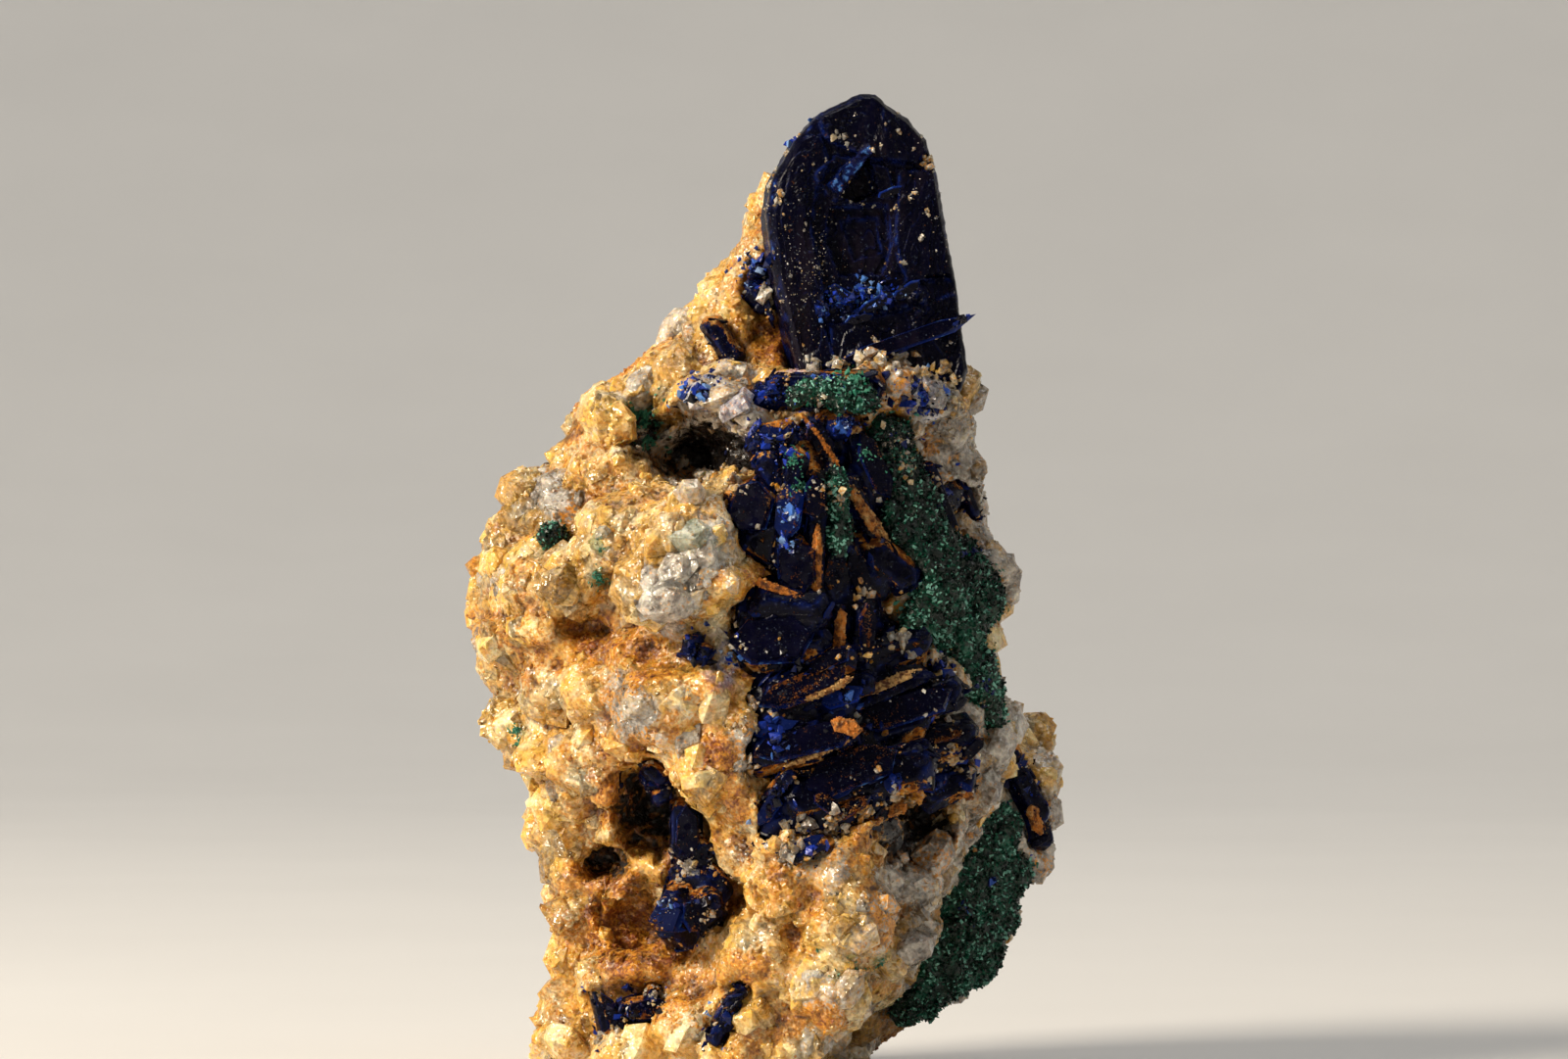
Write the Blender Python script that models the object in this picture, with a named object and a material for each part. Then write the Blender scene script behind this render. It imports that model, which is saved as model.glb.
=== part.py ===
"""Azurite specimen: dark blue azurite crystals and green malachite crusts, rooted in a rock of
quartz grains stained by limonite, and broken off flat underneath.

It is modelled in millimetres and scaled to metres at the end. +Z is up, the best side faces -Y,
and the origin is on the flat base, under the rock. Every crystal or crust is a union of convex
solids, and it sits in a socket that is cut from what carries it with a clearance of GAP.
"""

import math
import random

import bmesh
import bpy
from mathutils import Matrix, Vector
from mathutils.bvhtree import BVHTree

# ---------------------------------------------------------------- driving sizes, in millimetres
METRES_PER_MM = 0.001
GAP = 0.35  # clearance between a crystal and its socket
ROCK_VOXEL = 0.62  # grain at which the rock's stones grow together
ROCK_SHARE = 0.065  # share of its triangles that the rock keeps before its sockets are cut
SOCKETED_SHARE = 0.5  # and after they are cut
PIECE_THINNING = 0.6  # the same for a crystal group
SMALL_PIECE = 60  # a piece of fewer faces keeps them all
RING_POINTS = 36  # points round each level of a loft
CORE_INSET = 0.9  # the lofts lie this far inside the rock's outline, under its stones
FAR = 90.0  # outside the rock on every side
WAIST_SHARE = 0.55  # how far back a loft's widest line lies, as a share of its depth
FRONT_PULL = 1.25  # how pointed a loft's front is, where 1 would be an ellipse
BACK_PULL = 0.85
MEND_ROUNDS = 4
GOLDEN_ANGLE = math.pi * (3 - math.sqrt(5))

# The rock's trunk, by height: left, right, front and back edge, and where its nose is across.
TRUNK = [
    (-2.0, -12.8, 6.5, -11.0, 11.0, 0.0),
    (2.5, -13.4, 6.6, -12.0, 11.5, 1.0),
    (5.0, -13.1, 9.7, -12.6, 12.0, 4.0),
    (8.0, -12.6, 12.8, -13.1, 12.5, 7.0),
    (11.0, -12.1, 14.4, -13.6, 13.0, 8.5),
    (14.0, -12.8, 15.8, -14.0, 13.5, 9.0),
    (17.0, -13.1, 17.5, -14.2, 14.0, 8.5),
    (20.0, -14.0, 19.2, -14.5, 14.5, 7.0),
    (23.0, -15.6, 20.8, -15.0, 15.0, 5.5),
    (26.5, -16.8, 21.0, -15.3, 15.0, 4.0),
    (29.5, -17.2, 20.4, -15.5, 15.0, 3.0),
    (32.0, -18.2, 19.0, -15.5, 14.8, 2.5),
    (35.0, -18.7, 20.7, -15.3, 14.5, 2.0),
    (37.2, -18.1, 20.4, -15.0, 14.0, 2.0),
    (40.0, -16.6, 18.9, -14.2, 13.5, 2.0),
    (42.8, -14.8, 18.4, -13.2, 12.5, 3.0),
    (45.6, -11.8, 16.8, -12.0, 11.5, 4.0),
    (48.4, -10.5, 17.4, -11.0, 10.5, 6.0),
    (50.0, -8.2, 17.6, -9.5, 9.5, 7.0),
    (51.6, -6.0, 17.0, -8.0, 8.5, 8.0),
]
# The spire of rock that backs the great blade, in the same terms.
SPIRE = [
    (48.0, -9.0, 14.0, -5.6, 9.0, 2.0),
    (52.3, -6.4, 12.5, -4.5, 7.5, 1.0),
    (54.2, -4.8, 11.5, -4.0, 6.8, 1.0),
    (57.0, -2.8, 10.0, -3.6, 6.0, 2.0),
    (59.5, -0.4, 8.6, -3.2, 5.2, 3.0),
    (62.0, 1.1, 7.6, -2.8, 4.4, 4.0),
    (64.2, 2.2, 6.6, -2.2, 3.4, 4.0),
    (65.8, 3.0, 5.4, -1.4, 2.0, 4.0),
]
# The lobe behind on the right, in the same terms.
REAR_LOBE = [
    (-2.0, -9.0, 8.6, 2.0, 12.0, 0.0),
    (1.0, -8.0, 11.0, 1.5, 13.0, 2.0),
    (3.0, -6.0, 13.8, 1.2, 14.0, 6.0),
    (5.0, -4.0, 17.2, 1.2, 15.0, 9.0),
    (8.0, -2.0, 20.5, 1.6, 15.6, 13.0),
    (11.0, 0.0, 21.9, 2.0, 16.0, 15.0),
    (14.5, 1.0, 22.8, 2.6, 16.4, 16.0),
    (18.0, 2.0, 24.4, 3.4, 16.6, 17.0),
    (21.5, 3.0, 25.1, 4.0, 16.6, 18.0),
    (23.7, 4.0, 24.4, 4.8, 16.0, 18.0),
    (25.5, 6.0, 22.4, 6.0, 15.0, 17.0),
    (27.4, 9.0, 19.0, 7.5, 13.6, 15.0),
]
# Quartz stones that stand out of the front: across, height, radius.
SHOULDER_STONES = [
    (-8.3, 47.9, 2.4), (-9.8, 46.2, 2.1), (-9.0, 43.9, 2.4), (-7.0, 44.9, 2.0),
    (-5.7, 50.4, 1.8), (-13.1, 42.5, 2.6), (-15.3, 39.7, 2.3), (-11.2, 41.4, 1.8),
    (-15.6, 36.5, 2.5), (-17.0, 35.0, 1.9), (-7.6, 39.7, 3.4), (-6.0, 41.4, 2.1),
]  # fmt: skip
BELLY_STONES = [
    (-2.5, 39.7, 3.9), (-3.5, 35.8, 3.8), (-0.4, 36.5, 2.8), (-0.4, 41.4, 2.0),
    (-13.4, 36.0, 2.9), (-10.6, 36.5, 3.0), (-15.4, 32.3, 2.8), (-12.6, 32.7, 2.8),
    (-16.5, 30.2, 1.8), (-12.6, 28.8, 2.6), (-9.0, 28.8, 2.9), (-6.6, 30.9, 1.8),
    (-4.2, 27.3, 3.7), (-1.3, 28.8, 2.4), (-6.3, 25.7, 2.6), (-14.7, 25.7, 2.4),
    (-12.6, 24.3, 2.5), (-9.9, 23.6, 3.2), (-7.6, 21.9, 2.5), (-7.8, 18.5, 1.6),
    (-10.9, 20.4, 2.5), (-12.9, 18.3, 2.0), (-0.8, 23.2, 3.4), (1.0, 26.0, 2.2),
    (-2.8, 25.0, 2.1), (1.8, 20.8, 2.5),
]  # fmt: skip
LOWER_STONES = [
    (4.2, 18.3, 2.7), (7.4, 16.9, 3.1), (10.4, 18.9, 2.4), (4.2, 14.5, 3.0),
    (8.8, 12.7, 3.8), (13.4, 14.5, 2.5), (11.6, 10.6, 2.8), (2.8, 9.6, 3.4),
    (7.4, 7.8, 3.8), (10.9, 7.1, 2.1), (1.3, 5.7, 2.8), (4.5, 4.3, 3.1),
    (0.7, 2.8, 2.6), (-11.2, 15.5, 2.1), (-10.4, 12.0, 2.0), (-7.0, 13.1, 2.5),
    (-10.9, 8.9, 2.2), (-11.6, 5.7, 2.2), (-11.4, 3.2, 2.2), (-8.4, 7.8, 2.4),
    (-6.3, 8.9, 2.5), (-2.8, 5.0, 2.5), (-7.0, 2.9, 2.6),
]  # fmt: skip
LEDGE_STONES = [
    (-0.4, 48.6, 2.6), (-2.5, 49.5, 1.9), (1.8, 48.1, 1.7), (0.1, 51.1, 1.7),
    (-3.5, 51.2, 1.7), (10.9, 50.9, 1.7), (9.0, 50.6, 1.3), (12.9, 50.6, 1.5),
    (15.2, 49.8, 1.7), (16.2, 47.4, 1.8), (6.3, 51.0, 1.0),
]  # fmt: skip
RIGHT_STONES = [
    (17.2, 44.2, 1.9), (16.0, 46.0, 1.5), (19.3, 37.1, 2.0), (20.0, 35.0, 1.4),
    (18.6, 39.1, 1.4), (19.2, 23.9, 1.8), (18.2, 21.8, 1.9), (16.6, 23.6, 2.0),
    (15.0, 17.6, 1.8),
]  # fmt: skip
# Stones that hide the foot of the great blade: across, depth, height, radius.
FOOT_STONES = [
    (9.6, -7.6, 50.8, 1.4), (12.2, -7.0, 50.4, 1.7), (14.3, -5.6, 49.8, 1.9),
    (15.7, -4.4, 48.8, 2.0), (16.1, -2.6, 47.4, 2.1),
]  # fmt: skip
STONES_PROUD = 0.25  # share of its radius by which a front stone's middle lies in front of the core
STONES_SUNK = 0.25  # and by which a scattered stone's middle lies under the core's surface
STONE_HEIGHT = 0.9  # a front stone's height, as a share of its width
STONE_CORNERS = 24
STONE_JITTER = 0.16  # how far a stone's corners stray in or out, as a share of its radius
STONE_TURNS = (math.tau, 3.0)  # the most that a stone is turned by chance about Z and X
SCATTER_STONES = 420  # stones scattered over the sides, the back and the spire
SCATTER_HEIGHTS = (1.5, 64.5)
SCATTER_RADIUS = (1.3, 3.0)
SCATTER_FLATTEN = (0.7, 1.0)
SPIRE_STONE_SHARE = 0.6  # stones on the spire are smaller
SPIRE_MIDDLE = (4.5, 2.0)  # the upright line that stones on the spire are set round
TRUNK_MIDDLE = (2.0, 2.0)
FRONT_ANGLES = (math.radians(212), math.radians(316))  # the side that the tables above cover
ANGLE_JITTER = 0.1
SCATTER_SEED = 11
SCATTERED_SEED = 1000  # the first seed of the scattered stones, of the hollows and of the foot stones
HOLLOW_SEED = 500
FOOT_SEED = 700
HOLLOW_CORNERS = 20

# Hollows: across, height, radius across, radius up, and how far in.
HOLLOWS = [
    (-2.8, 45.2, 3.5, 2.4, 5.0),  # under the quartz ledge
    (-5.0, 20.4, 2.4, 3.3, 3.6),  # behind the knobbed stone
    (-8.9, 16.2, 1.7, 1.3, 3.2),
    (-6.2, 12.0, 2.7, 3.0, 2.6),
    (-2.6, 18.0, 2.0, 3.3, 3.0),  # round the dark prism
    (0.9, 13.9, 2.2, 1.5, 2.4),
    (14.6, 19.4, 2.6, 2.1, 3.2),
    (-9.8, 32.9, 2.6, 1.1, 1.6),
    (-6.6, 33.0, 1.4, 1.0, 1.6),
    (7.4, 40.0, 5.2, 6.5, 2.6),  # the open front that the blades fill
    (8.4, 29.0, 6.6, 6.6, 2.6),
]


# A small blade's shape: the length of its pointed ends in widths, the same at the shorter corners,
# how far its end corners are off the middle, its bevel in widths and in thicknesses, and how deep
# its widest line lies in thicknesses.
BLADE_TIP = 0.3
SHORT_TIP = 0.7
BLADE_SKEW = 0.15
BEVEL_OF_WIDTH = 0.25
BEVEL_OF_THICK = 0.5
BLADE_WAIST = 0.15
# A dome's rings, as out and up in radii, its corners to a ring, and how much they stray.
DOME_RINGS = [(0.9, -0.34), (1.0, 0.04), (0.5, 0.3)]
DOME_CORNERS = 6
DOME_TWIST = 0.2
DOME_REACH = (0.86, 1.12)
DOME_RISE = 0.05


# ---------------------------------------------------------------- meshes and booleans
def hull_of(points):
    """The convex solid round these points."""
    solid = bmesh.new()
    for point in points:
        solid.verts.new(point)
    made = bmesh.ops.convex_hull(solid, input=solid.verts[:])
    loose = {v for v in made["geom_interior"] + made["geom_unused"] if isinstance(v, bmesh.types.BMVert)}
    bmesh.ops.delete(solid, geom=list(loose), context="VERTS")
    bmesh.ops.recalc_face_normals(solid, faces=solid.faces[:])
    return solid


def stone(centre, radii, seed, corners=STONE_CORNERS, jitter=STONE_JITTER):
    """A rough convex stone: points spread evenly over an ellipsoid, each a little in or out."""
    rng = random.Random(seed)
    about_z, about_x = STONE_TURNS
    spin = Matrix.Rotation(rng.uniform(0, about_z), 3, "Z")
    spin @= Matrix.Rotation(rng.uniform(0, about_x), 3, "X")
    points = []
    for i in range(corners):
        height = 1 - 2 * (i + 0.5) / corners
        ring = math.sqrt(1 - height * height)
        angle = i * GOLDEN_ANGLE
        way = spin @ Vector((ring * math.cos(angle), ring * math.sin(angle), height))
        way *= 1 + rng.uniform(-jitter, jitter)
        points.append(Vector(centre) + Vector((way.x * radii[0], way.y * radii[1], way.z * radii[2])))
    return hull_of(points)


def facing(turn, tilt=0.0, yaw=0.0):
    """The rotation of a plate whose face looks at the viewer: turn raises its right end, tilt makes
    the face look up, and yaw swings the face to the right, in degrees."""
    spin = Matrix.Rotation(math.radians(yaw), 3, "Z")
    spin @= Matrix.Rotation(math.radians(-turn), 3, "Y")
    return spin @ Matrix.Rotation(math.radians(-tilt), 3, "X")


def blade(centre, length, width, thick, turn, tilt=0.0, yaw=0.0, tip=BLADE_TIP):
    """A bladed crystal: a long hexagon whose front rim is bevelled and whose back is rooted."""
    spin = facing(turn, tilt, yaw)
    half, high, reach = length / 2, width / 2, tip * width
    outline = [
        (-half, -BLADE_SKEW * high),
        (-half + reach, high),
        (half - reach * SHORT_TIP, high),
        (half, BLADE_SKEW * high),
        (half - reach, -high),
        (-half + reach * SHORT_TIP, -high),
    ]
    bevel = min(BEVEL_OF_WIDTH * width, BEVEL_OF_THICK * thick)
    inner_long, inner_high = (half - bevel) / half, (high - bevel) / high
    points = []
    for across, up in outline:
        points.append((across, BLADE_WAIST * thick, up))
        points.append((across * inner_long, -0.5 * thick, up * inner_high))
    back = [(across * inner_long, 0.5 * thick, up * inner_high) for across, up in outline[::3]]
    return hull_of([Vector(centre) + spin @ Vector(p) for p in points + back])


def dome(centre, normal, radius, seed):
    """A low faceted dome lying along a surface, with its foot sunk into it."""
    rng = random.Random(seed)
    along = normal.to_track_quat("Z", "Y").to_matrix()
    points = []
    for ring, (out, up) in enumerate(DOME_RINGS):
        for i in range(DOME_CORNERS):
            twist = rng.uniform(-DOME_TWIST, DOME_TWIST)
            angle = math.tau * (i + 0.5 * ring) / DOME_CORNERS + twist
            reach = radius * out * rng.uniform(*DOME_REACH)
            rise = radius * up + radius * rng.uniform(-DOME_RISE, DOME_RISE)
            points.append((reach * math.cos(angle), reach * math.sin(angle), rise))
    return hull_of([Vector(centre) + along @ Vector(p) for p in points])


def slab(outline, origin, spin, levels):
    """A closed solid through copies of an outline of (across, up) points, one for each level of
    (depth, how far the copy is drawn in)."""
    solid = bmesh.new()
    middle = sum((Vector(point) for point in outline), Vector((0.0, 0.0))) / len(outline)
    rims = []
    for depth, inset in levels:
        rim = []
        for point in outline:
            out = Vector(point) - middle
            across, up = middle + out * (1 - inset / out.length)
            rim.append(solid.verts.new(Vector(origin) + spin @ Vector((across, depth, up))))
        rims.append(rim)
    bridge(solid, rims)
    return solid


def bridge(solid, rims):
    """Faces between each ring of corners and the next, and one on each end."""
    count = len(rims[0])
    for low, high in zip(rims, rims[1:]):
        for i in range(count):
            j = (i + 1) % count
            solid.faces.new((low[i], low[j], high[j], high[i]))
    solid.faces.new(rims[0])
    solid.faces.new(rims[-1])
    bmesh.ops.recalc_face_normals(solid, faces=solid.faces[:])


def loft(levels):
    """A closed solid through the levels, each a rounded wedge with its nose towards the viewer."""
    solid = bmesh.new()
    rings = []
    for height, left, right, front, back, nose in levels:
        left, right = left + CORE_INSET, right - CORE_INSET
        front, back = front + CORE_INSET, back - CORE_INSET
        waist = front + WAIST_SHARE * (back - front)
        ring = []
        for i in range(RING_POINTS):
            angle = math.tau * i / RING_POINTS
            c, s = math.cos(angle), math.sin(angle)
            in_front = s < 0
            pull = FRONT_PULL if in_front else BACK_PULL
            centre = nose if in_front else (left + right) / 2
            reach = right - centre if c > 0 else centre - left
            across = centre + math.copysign(abs(c) ** pull, c) * reach
            span = front - waist if in_front else back - waist
            deep = waist + span * abs(s) ** pull
            ring.append(solid.verts.new((across, deep, height)))
        rings.append(ring)
    bridge(solid, rings)
    return solid


def grown(solid, by=GAP):
    """A copy of a convex solid with every face moved outwards."""
    copy = solid.copy()
    copy.normal_update()
    moved = [v.co + v.normal * by * v.calc_shell_factor() for v in copy.verts]
    for vert, place in zip(copy.verts, moved):
        vert.co = place
    return copy


def object_of(name, solid):
    mesh = bpy.data.meshes.new(name)
    solid.to_mesh(mesh)
    obj = bpy.data.objects.new(name, mesh)
    bpy.context.scene.collection.objects.link(obj)
    return obj


def apply_modifiers(obj):
    """Replaces the object's mesh by what its modifiers make of it."""
    graph = bpy.context.evaluated_depsgraph_get()
    made = bpy.data.meshes.new_from_object(obj.evaluated_get(graph))
    obj.modifiers.clear()
    old, obj.data = obj.data, made
    bpy.data.meshes.remove(old)


def combine(obj, solids, operation):
    """Joins the solids to the object, or cuts them away, in one step."""
    tools = bpy.data.collections.new("tools")
    for solid in solids:
        tool = object_of("tool", solid)
        tools.objects.link(tool)
    modifier = obj.modifiers.new("combine", "BOOLEAN")
    modifier.operation = operation
    modifier.solver = "EXACT"
    modifier.operand_type = "COLLECTION"
    modifier.collection = tools
    apply_modifiers(obj)
    for tool in list(tools.objects):
        bpy.data.objects.remove(tool)
    bpy.data.collections.remove(tools)


def mend(obj):
    """Closes the few places where the facets left by a decimation don't meet in pairs."""
    solid = bmesh.new()
    solid.from_mesh(obj.data)
    for _ in range(MEND_ROUNDS):
        odd = [e for e in solid.edges if len(e.link_faces) != 2]
        if not odd:
            break
        bmesh.ops.delete(solid, geom=list({v for e in odd for v in e.verts}), context="VERTS")
        bmesh.ops.holes_fill(solid, edges=[e for e in solid.edges if e.is_boundary])
        bmesh.ops.triangulate(solid, faces=solid.faces[:])
    solid.to_mesh(obj.data)
    solid.free()


def thin(obj, share):
    """Leaves this share of the object's triangles: the flattest and smallest go first."""
    fewer = obj.modifiers.new("fewer facets", "DECIMATE")
    fewer.ratio = share
    fewer.use_collapse_triangulate = True
    apply_modifiers(obj)
    mend(obj)


def box_of(solid):
    points = [v.co for v in solid.verts]
    return [(min(p[k] for p in points), max(p[k] for p in points)) for k in range(3)]


def near(box, other):
    return all(a[0] < b[1] and b[0] < a[1] for a, b in zip(box, other))


def tree_of(obj):
    solid = bmesh.new()
    solid.from_mesh(obj.data)
    tree = BVHTree.FromBMesh(solid)
    solid.free()
    return tree


def front_hit(tree, across, height):
    """Where a line of sight along +Y meets the surface, and the surface's normal there."""
    place, normal, _, _ = tree.ray_cast(Vector((across, -FAR, height)), Vector((0, 1, 0)))
    return place, normal


def back_hit(tree, across, height):
    place, normal, _, _ = tree.ray_cast(Vector((across, FAR, height)), Vector((0, -1, 0)))
    return place, normal


# ---------------------------------------------------------------- the rock
def core_solids():
    return [loft(TRUNK), loft(SPIRE), loft(REAR_LOBE)]


def joined(solids):
    """All the solids in one mesh, still overlapping."""
    whole = bmesh.new()
    for solid in solids:
        mesh = bpy.data.meshes.new("piece")
        solid.to_mesh(mesh)
        whole.from_mesh(mesh)
        bpy.data.meshes.remove(mesh)
    return whole


def scattered_stones(tree):
    """Stones spread evenly up the sides, the back and the spire, on a spiral round the rock. Each
    is set where a line towards the rock's upright middle meets the core."""
    rng = random.Random(SCATTER_SEED)
    crusts = [(front_hit(tree, x, z)[0], r) for x, z, r in FRONT_CRUST + REAR_CRUST]
    crusts += [(back_hit(tree, x, z)[0], r) for x, z, r in BACK_CRUST]
    stones = []
    for i in range(SCATTER_STONES):
        height = SCATTER_HEIGHTS[0] + (SCATTER_HEIGHTS[1] - SCATTER_HEIGHTS[0]) * i / SCATTER_STONES
        angle = (i * GOLDEN_ANGLE + rng.uniform(-ANGLE_JITTER, ANGLE_JITTER)) % math.tau
        on_spire = height > TRUNK[-1][0]
        if not on_spire and FRONT_ANGLES[0] < angle < FRONT_ANGLES[1]:
            continue
        middle = Vector((*(SPIRE_MIDDLE if on_spire else TRUNK_MIDDLE), height))
        way = Vector((math.cos(angle), math.sin(angle), 0))
        place, _, _, _ = tree.ray_cast(middle + way * FAR, -way)
        if place is None or any((place - spot).length < CRUST_CLEAR * r for spot, r in crusts):
            continue
        radius = rng.uniform(*SCATTER_RADIUS) * (SPIRE_STONE_SHARE if on_spire else 1.0)
        radii = (radius, radius * rng.uniform(*SCATTER_FLATTEN), radius * rng.uniform(*SCATTER_FLATTEN))
        stones.append(stone(place - way * STONES_SUNK * radius, radii, seed=SCATTERED_SEED + i))
    return stones


def front_stones(tree):
    stones = []
    tables = SHOULDER_STONES + BELLY_STONES + LOWER_STONES + LEDGE_STONES + RIGHT_STONES
    for i, (across, height, radius) in enumerate(tables):
        place, _ = front_hit(tree, across, height)
        place = place or Vector((across, 0.0, height))
        place.y -= STONES_PROUD * radius
        stones.append(stone(place, (radius, radius, radius * STONE_HEIGHT), seed=i))
    for i, (across, deep, height, radius) in enumerate(FOOT_STONES):
        radii = (radius, radius, radius * STONE_HEIGHT)
        stones.append(stone((across, deep, height), radii, seed=FOOT_SEED + i))
    return stones


def make_rock():
    """The rock with its hollows, before any socket is cut, and the tree of its bare core."""
    core = object_of("core", joined(core_solids()))
    core_tree = tree_of(core)
    solids = core_solids() + front_stones(core_tree) + scattered_stones(core_tree)
    bpy.data.objects.remove(core)
    rock = object_of("matrix", joined(solids))
    remesh = rock.modifiers.new("grow together", "REMESH")
    remesh.mode = "VOXEL"
    remesh.voxel_size = ROCK_VOXEL
    apply_modifiers(rock)
    hollows = []
    for i, (across, height, wide, high, deep) in enumerate(HOLLOWS):
        place, _ = front_hit(core_tree, across, height)
        hollows.append(stone(place, (wide, deep, high), seed=HOLLOW_SEED + i, corners=HOLLOW_CORNERS))
    combine(rock, hollows, "DIFFERENCE")
    thin(rock, ROCK_SHARE)
    below = bmesh.new()
    bmesh.ops.create_cube(below, size=2 * FAR, matrix=Matrix.Translation((0, 0, -FAR)))
    combine(rock, [below], "DIFFERENCE")
    return rock, core_tree


# ---------------------------------------------------------------- the great blade
BLADE_FOOT = (10.2, -3.2, 51.2)  # the middle of the blade where it leaves the rock
BLADE_THICK = 4.6
BLADE_YAW = 9.0
BLADE_LEAN = 3.0
BLADE_OUTLINE = [
    (-5.3, -4.5), (-5.4, 0.0), (-6.3, 3.6), (-7.1, 7.0), (-7.5, 11.2), (-7.1, 13.7),
    (-5.5, 16.5), (-3.6, 18.6), (-1.9, 19.4), (-0.7, 20.0), (0.4, 20.0), (1.4, 19.1),
    (2.8, 18.2), (4.1, 16.7), (4.9, 14.0), (5.5, 10.2), (6.2, 6.3), (6.5, 3.6),
    (7.0, 0.0), (6.3, -1.8), (3.5, -4.5),
]  # fmt: skip
# Growth layers on the blade's face: outline and how far each stands out.
LEFT_LAYER = [
    (-5.1, 0.3), (-6.0, 3.8), (-6.8, 7.2), (-7.1, 11.0), (-6.7, 13.4), (-5.2, 16.1),
    (-3.6, 16.9), (-3.0, 15.0), (-3.9, 13.0), (-4.3, 10.0), (-3.6, 6.5), (-3.3, 3.0),
    (-2.6, 0.6),
]  # fmt: skip
CROWN_LAYER = [
    (-3.4, 16.6), (-3.2, 18.3), (-1.7, 19.0), (-0.6, 19.6), (0.3, 19.6), (1.2, 18.8),
    (2.6, 17.8), (3.7, 16.4), (3.2, 14.8), (0.9, 15.0), (-1.0, 15.6),
]  # fmt: skip
RIGHT_LAYER = [
    (1.9, 14.6), (4.5, 14.4), (5.1, 10.2), (5.7, 6.6), (2.4, 6.3), (1.6, 9.0),
]  # fmt: skip
FOOT_LAYER = [(-3.0, 0.2), (-3.2, 3.4), (1.6, 4.3), (5.9, 5.9), (6.3, 3.4), (6.6, 0.2)]
BLADE_LAYERS = [(LEFT_LAYER, 0.55), (CROWN_LAYER, 0.7), (RIGHT_LAYER, 0.45), (FOOT_LAYER, 0.35)]
LAYER_ROOT = 1.0  # how deep a layer starts inside the blade
LAYER_STEP = (0.25, 0.2)  # its rim's bevel: how far back it starts, and how far it is drawn in
# The blade's levels: how far each lies inside its back or front face, and how far it is drawn in.
BACK_RIMS = [(0.0, 1.2), (1.2, 0.0)]
FRONT_RIMS = [(1.0, 0.0), (0.0, 0.6)]
# Plates and ridges on its face: across, depth and height from its foot, length, width, thickness,
# turn, tilt, yaw and tip.
CROSS_PLATES = [
    (2.6, -2.2, 2.3, 10.6, 2.6, 0.9, 20, 58, 14, 0.5),
    (-0.3, -2.5, 1.0, 6.8, 1.6, 0.8, 12, 50, 8, 0.5),
    (-1.2, -2.3, 14.2, 4.2, 1.0, 0.9, 54, 30, 0, 0.5),
    (1.5, -2.2, 12.9, 2.4, 0.8, 0.8, 24, 45, 0, 0.5),
    (-1.3, -2.2, 4.8, 3.4, 1.5, 1.0, -18, 35, 0, 0.3),
    (0.9, -2.3, 5.3, 3.0, 1.4, 1.0, 28, 30, 0, 0.3),
]


def great_blade():
    """The tabular crystal at the top, its growth layers and the plates that cross it."""
    spin = facing(0, BLADE_LEAN, BLADE_YAW)
    front, back = -BLADE_THICK / 2, BLADE_THICK / 2
    rims = [(back - deep, inset) for deep, inset in BACK_RIMS]
    rims += [(front + deep, inset) for deep, inset in FRONT_RIMS]
    chunks = [slab(BLADE_OUTLINE, BLADE_FOOT, spin, rims)]
    step_back, step_in = LAYER_STEP
    for outline, proud in BLADE_LAYERS:
        layer = [(front + LAYER_ROOT, 0.0), (front - proud + step_back, 0.0), (front - proud, step_in)]
        chunks.append(slab(outline, BLADE_FOOT, spin, layer))
    for across, deep, height, *shape in CROSS_PLATES:
        centre = Vector(BLADE_FOOT) + Vector((across, deep, height))
        chunks.append(blade(centre, *shape))
    return chunks


# ---------------------------------------------------------------- the smaller azurite
# A blade's row: across, height, how far its middle lies in front of the rock's core, length,
# width, thickness, turn, tilt and yaw.
STACK = [
    (4.4, 34.1, 0.6, 6.6, 3.8, 1.7, -8, -14, 0),
    (4.2, 31.8, 0.1, 7.0, 3.0, 1.6, -3, -30, 0),
    (6.0, 29.9, 0.6, 7.6, 2.4, 1.3, 24, 18, 0),
    (8.3, 28.6, 0.9, 5.4, 2.0, 1.2, 22, 24, 8),
    (12.4, 27.5, 0.7, 10.4, 2.9, 1.5, 15, 14, 16),
    (11.7, 28.8, 1.3, 6.4, 1.7, 0.8, 22, 58, 14),
    (4.4, 24.6, 0.7, 6.6, 3.2, 1.6, 14, -8, -6),
    (8.2, 25.6, 0.7, 3.4, 2.6, 1.0, -32, 30, 0),
    (9.4, 22.3, 0.9, 12.4, 3.7, 1.7, 15, 8, 10),
    (6.8, 19.9, 0.4, 9.4, 2.5, 1.5, 10, -20, 6),
    (15.4, 25.1, 0.8, 6.6, 3.4, 1.6, 10, 18, 26),
    (15.8, 21.8, 0.9, 5.6, 2.9, 1.4, 20, 8, 26),
    (11.6, 31.3, 0.3, 7.0, 2.9, 1.4, 12, -16, 14),
    (11.0, 25.2, 0.0, 8.0, 2.4, 1.2, 17, -30, 12),
]
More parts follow.
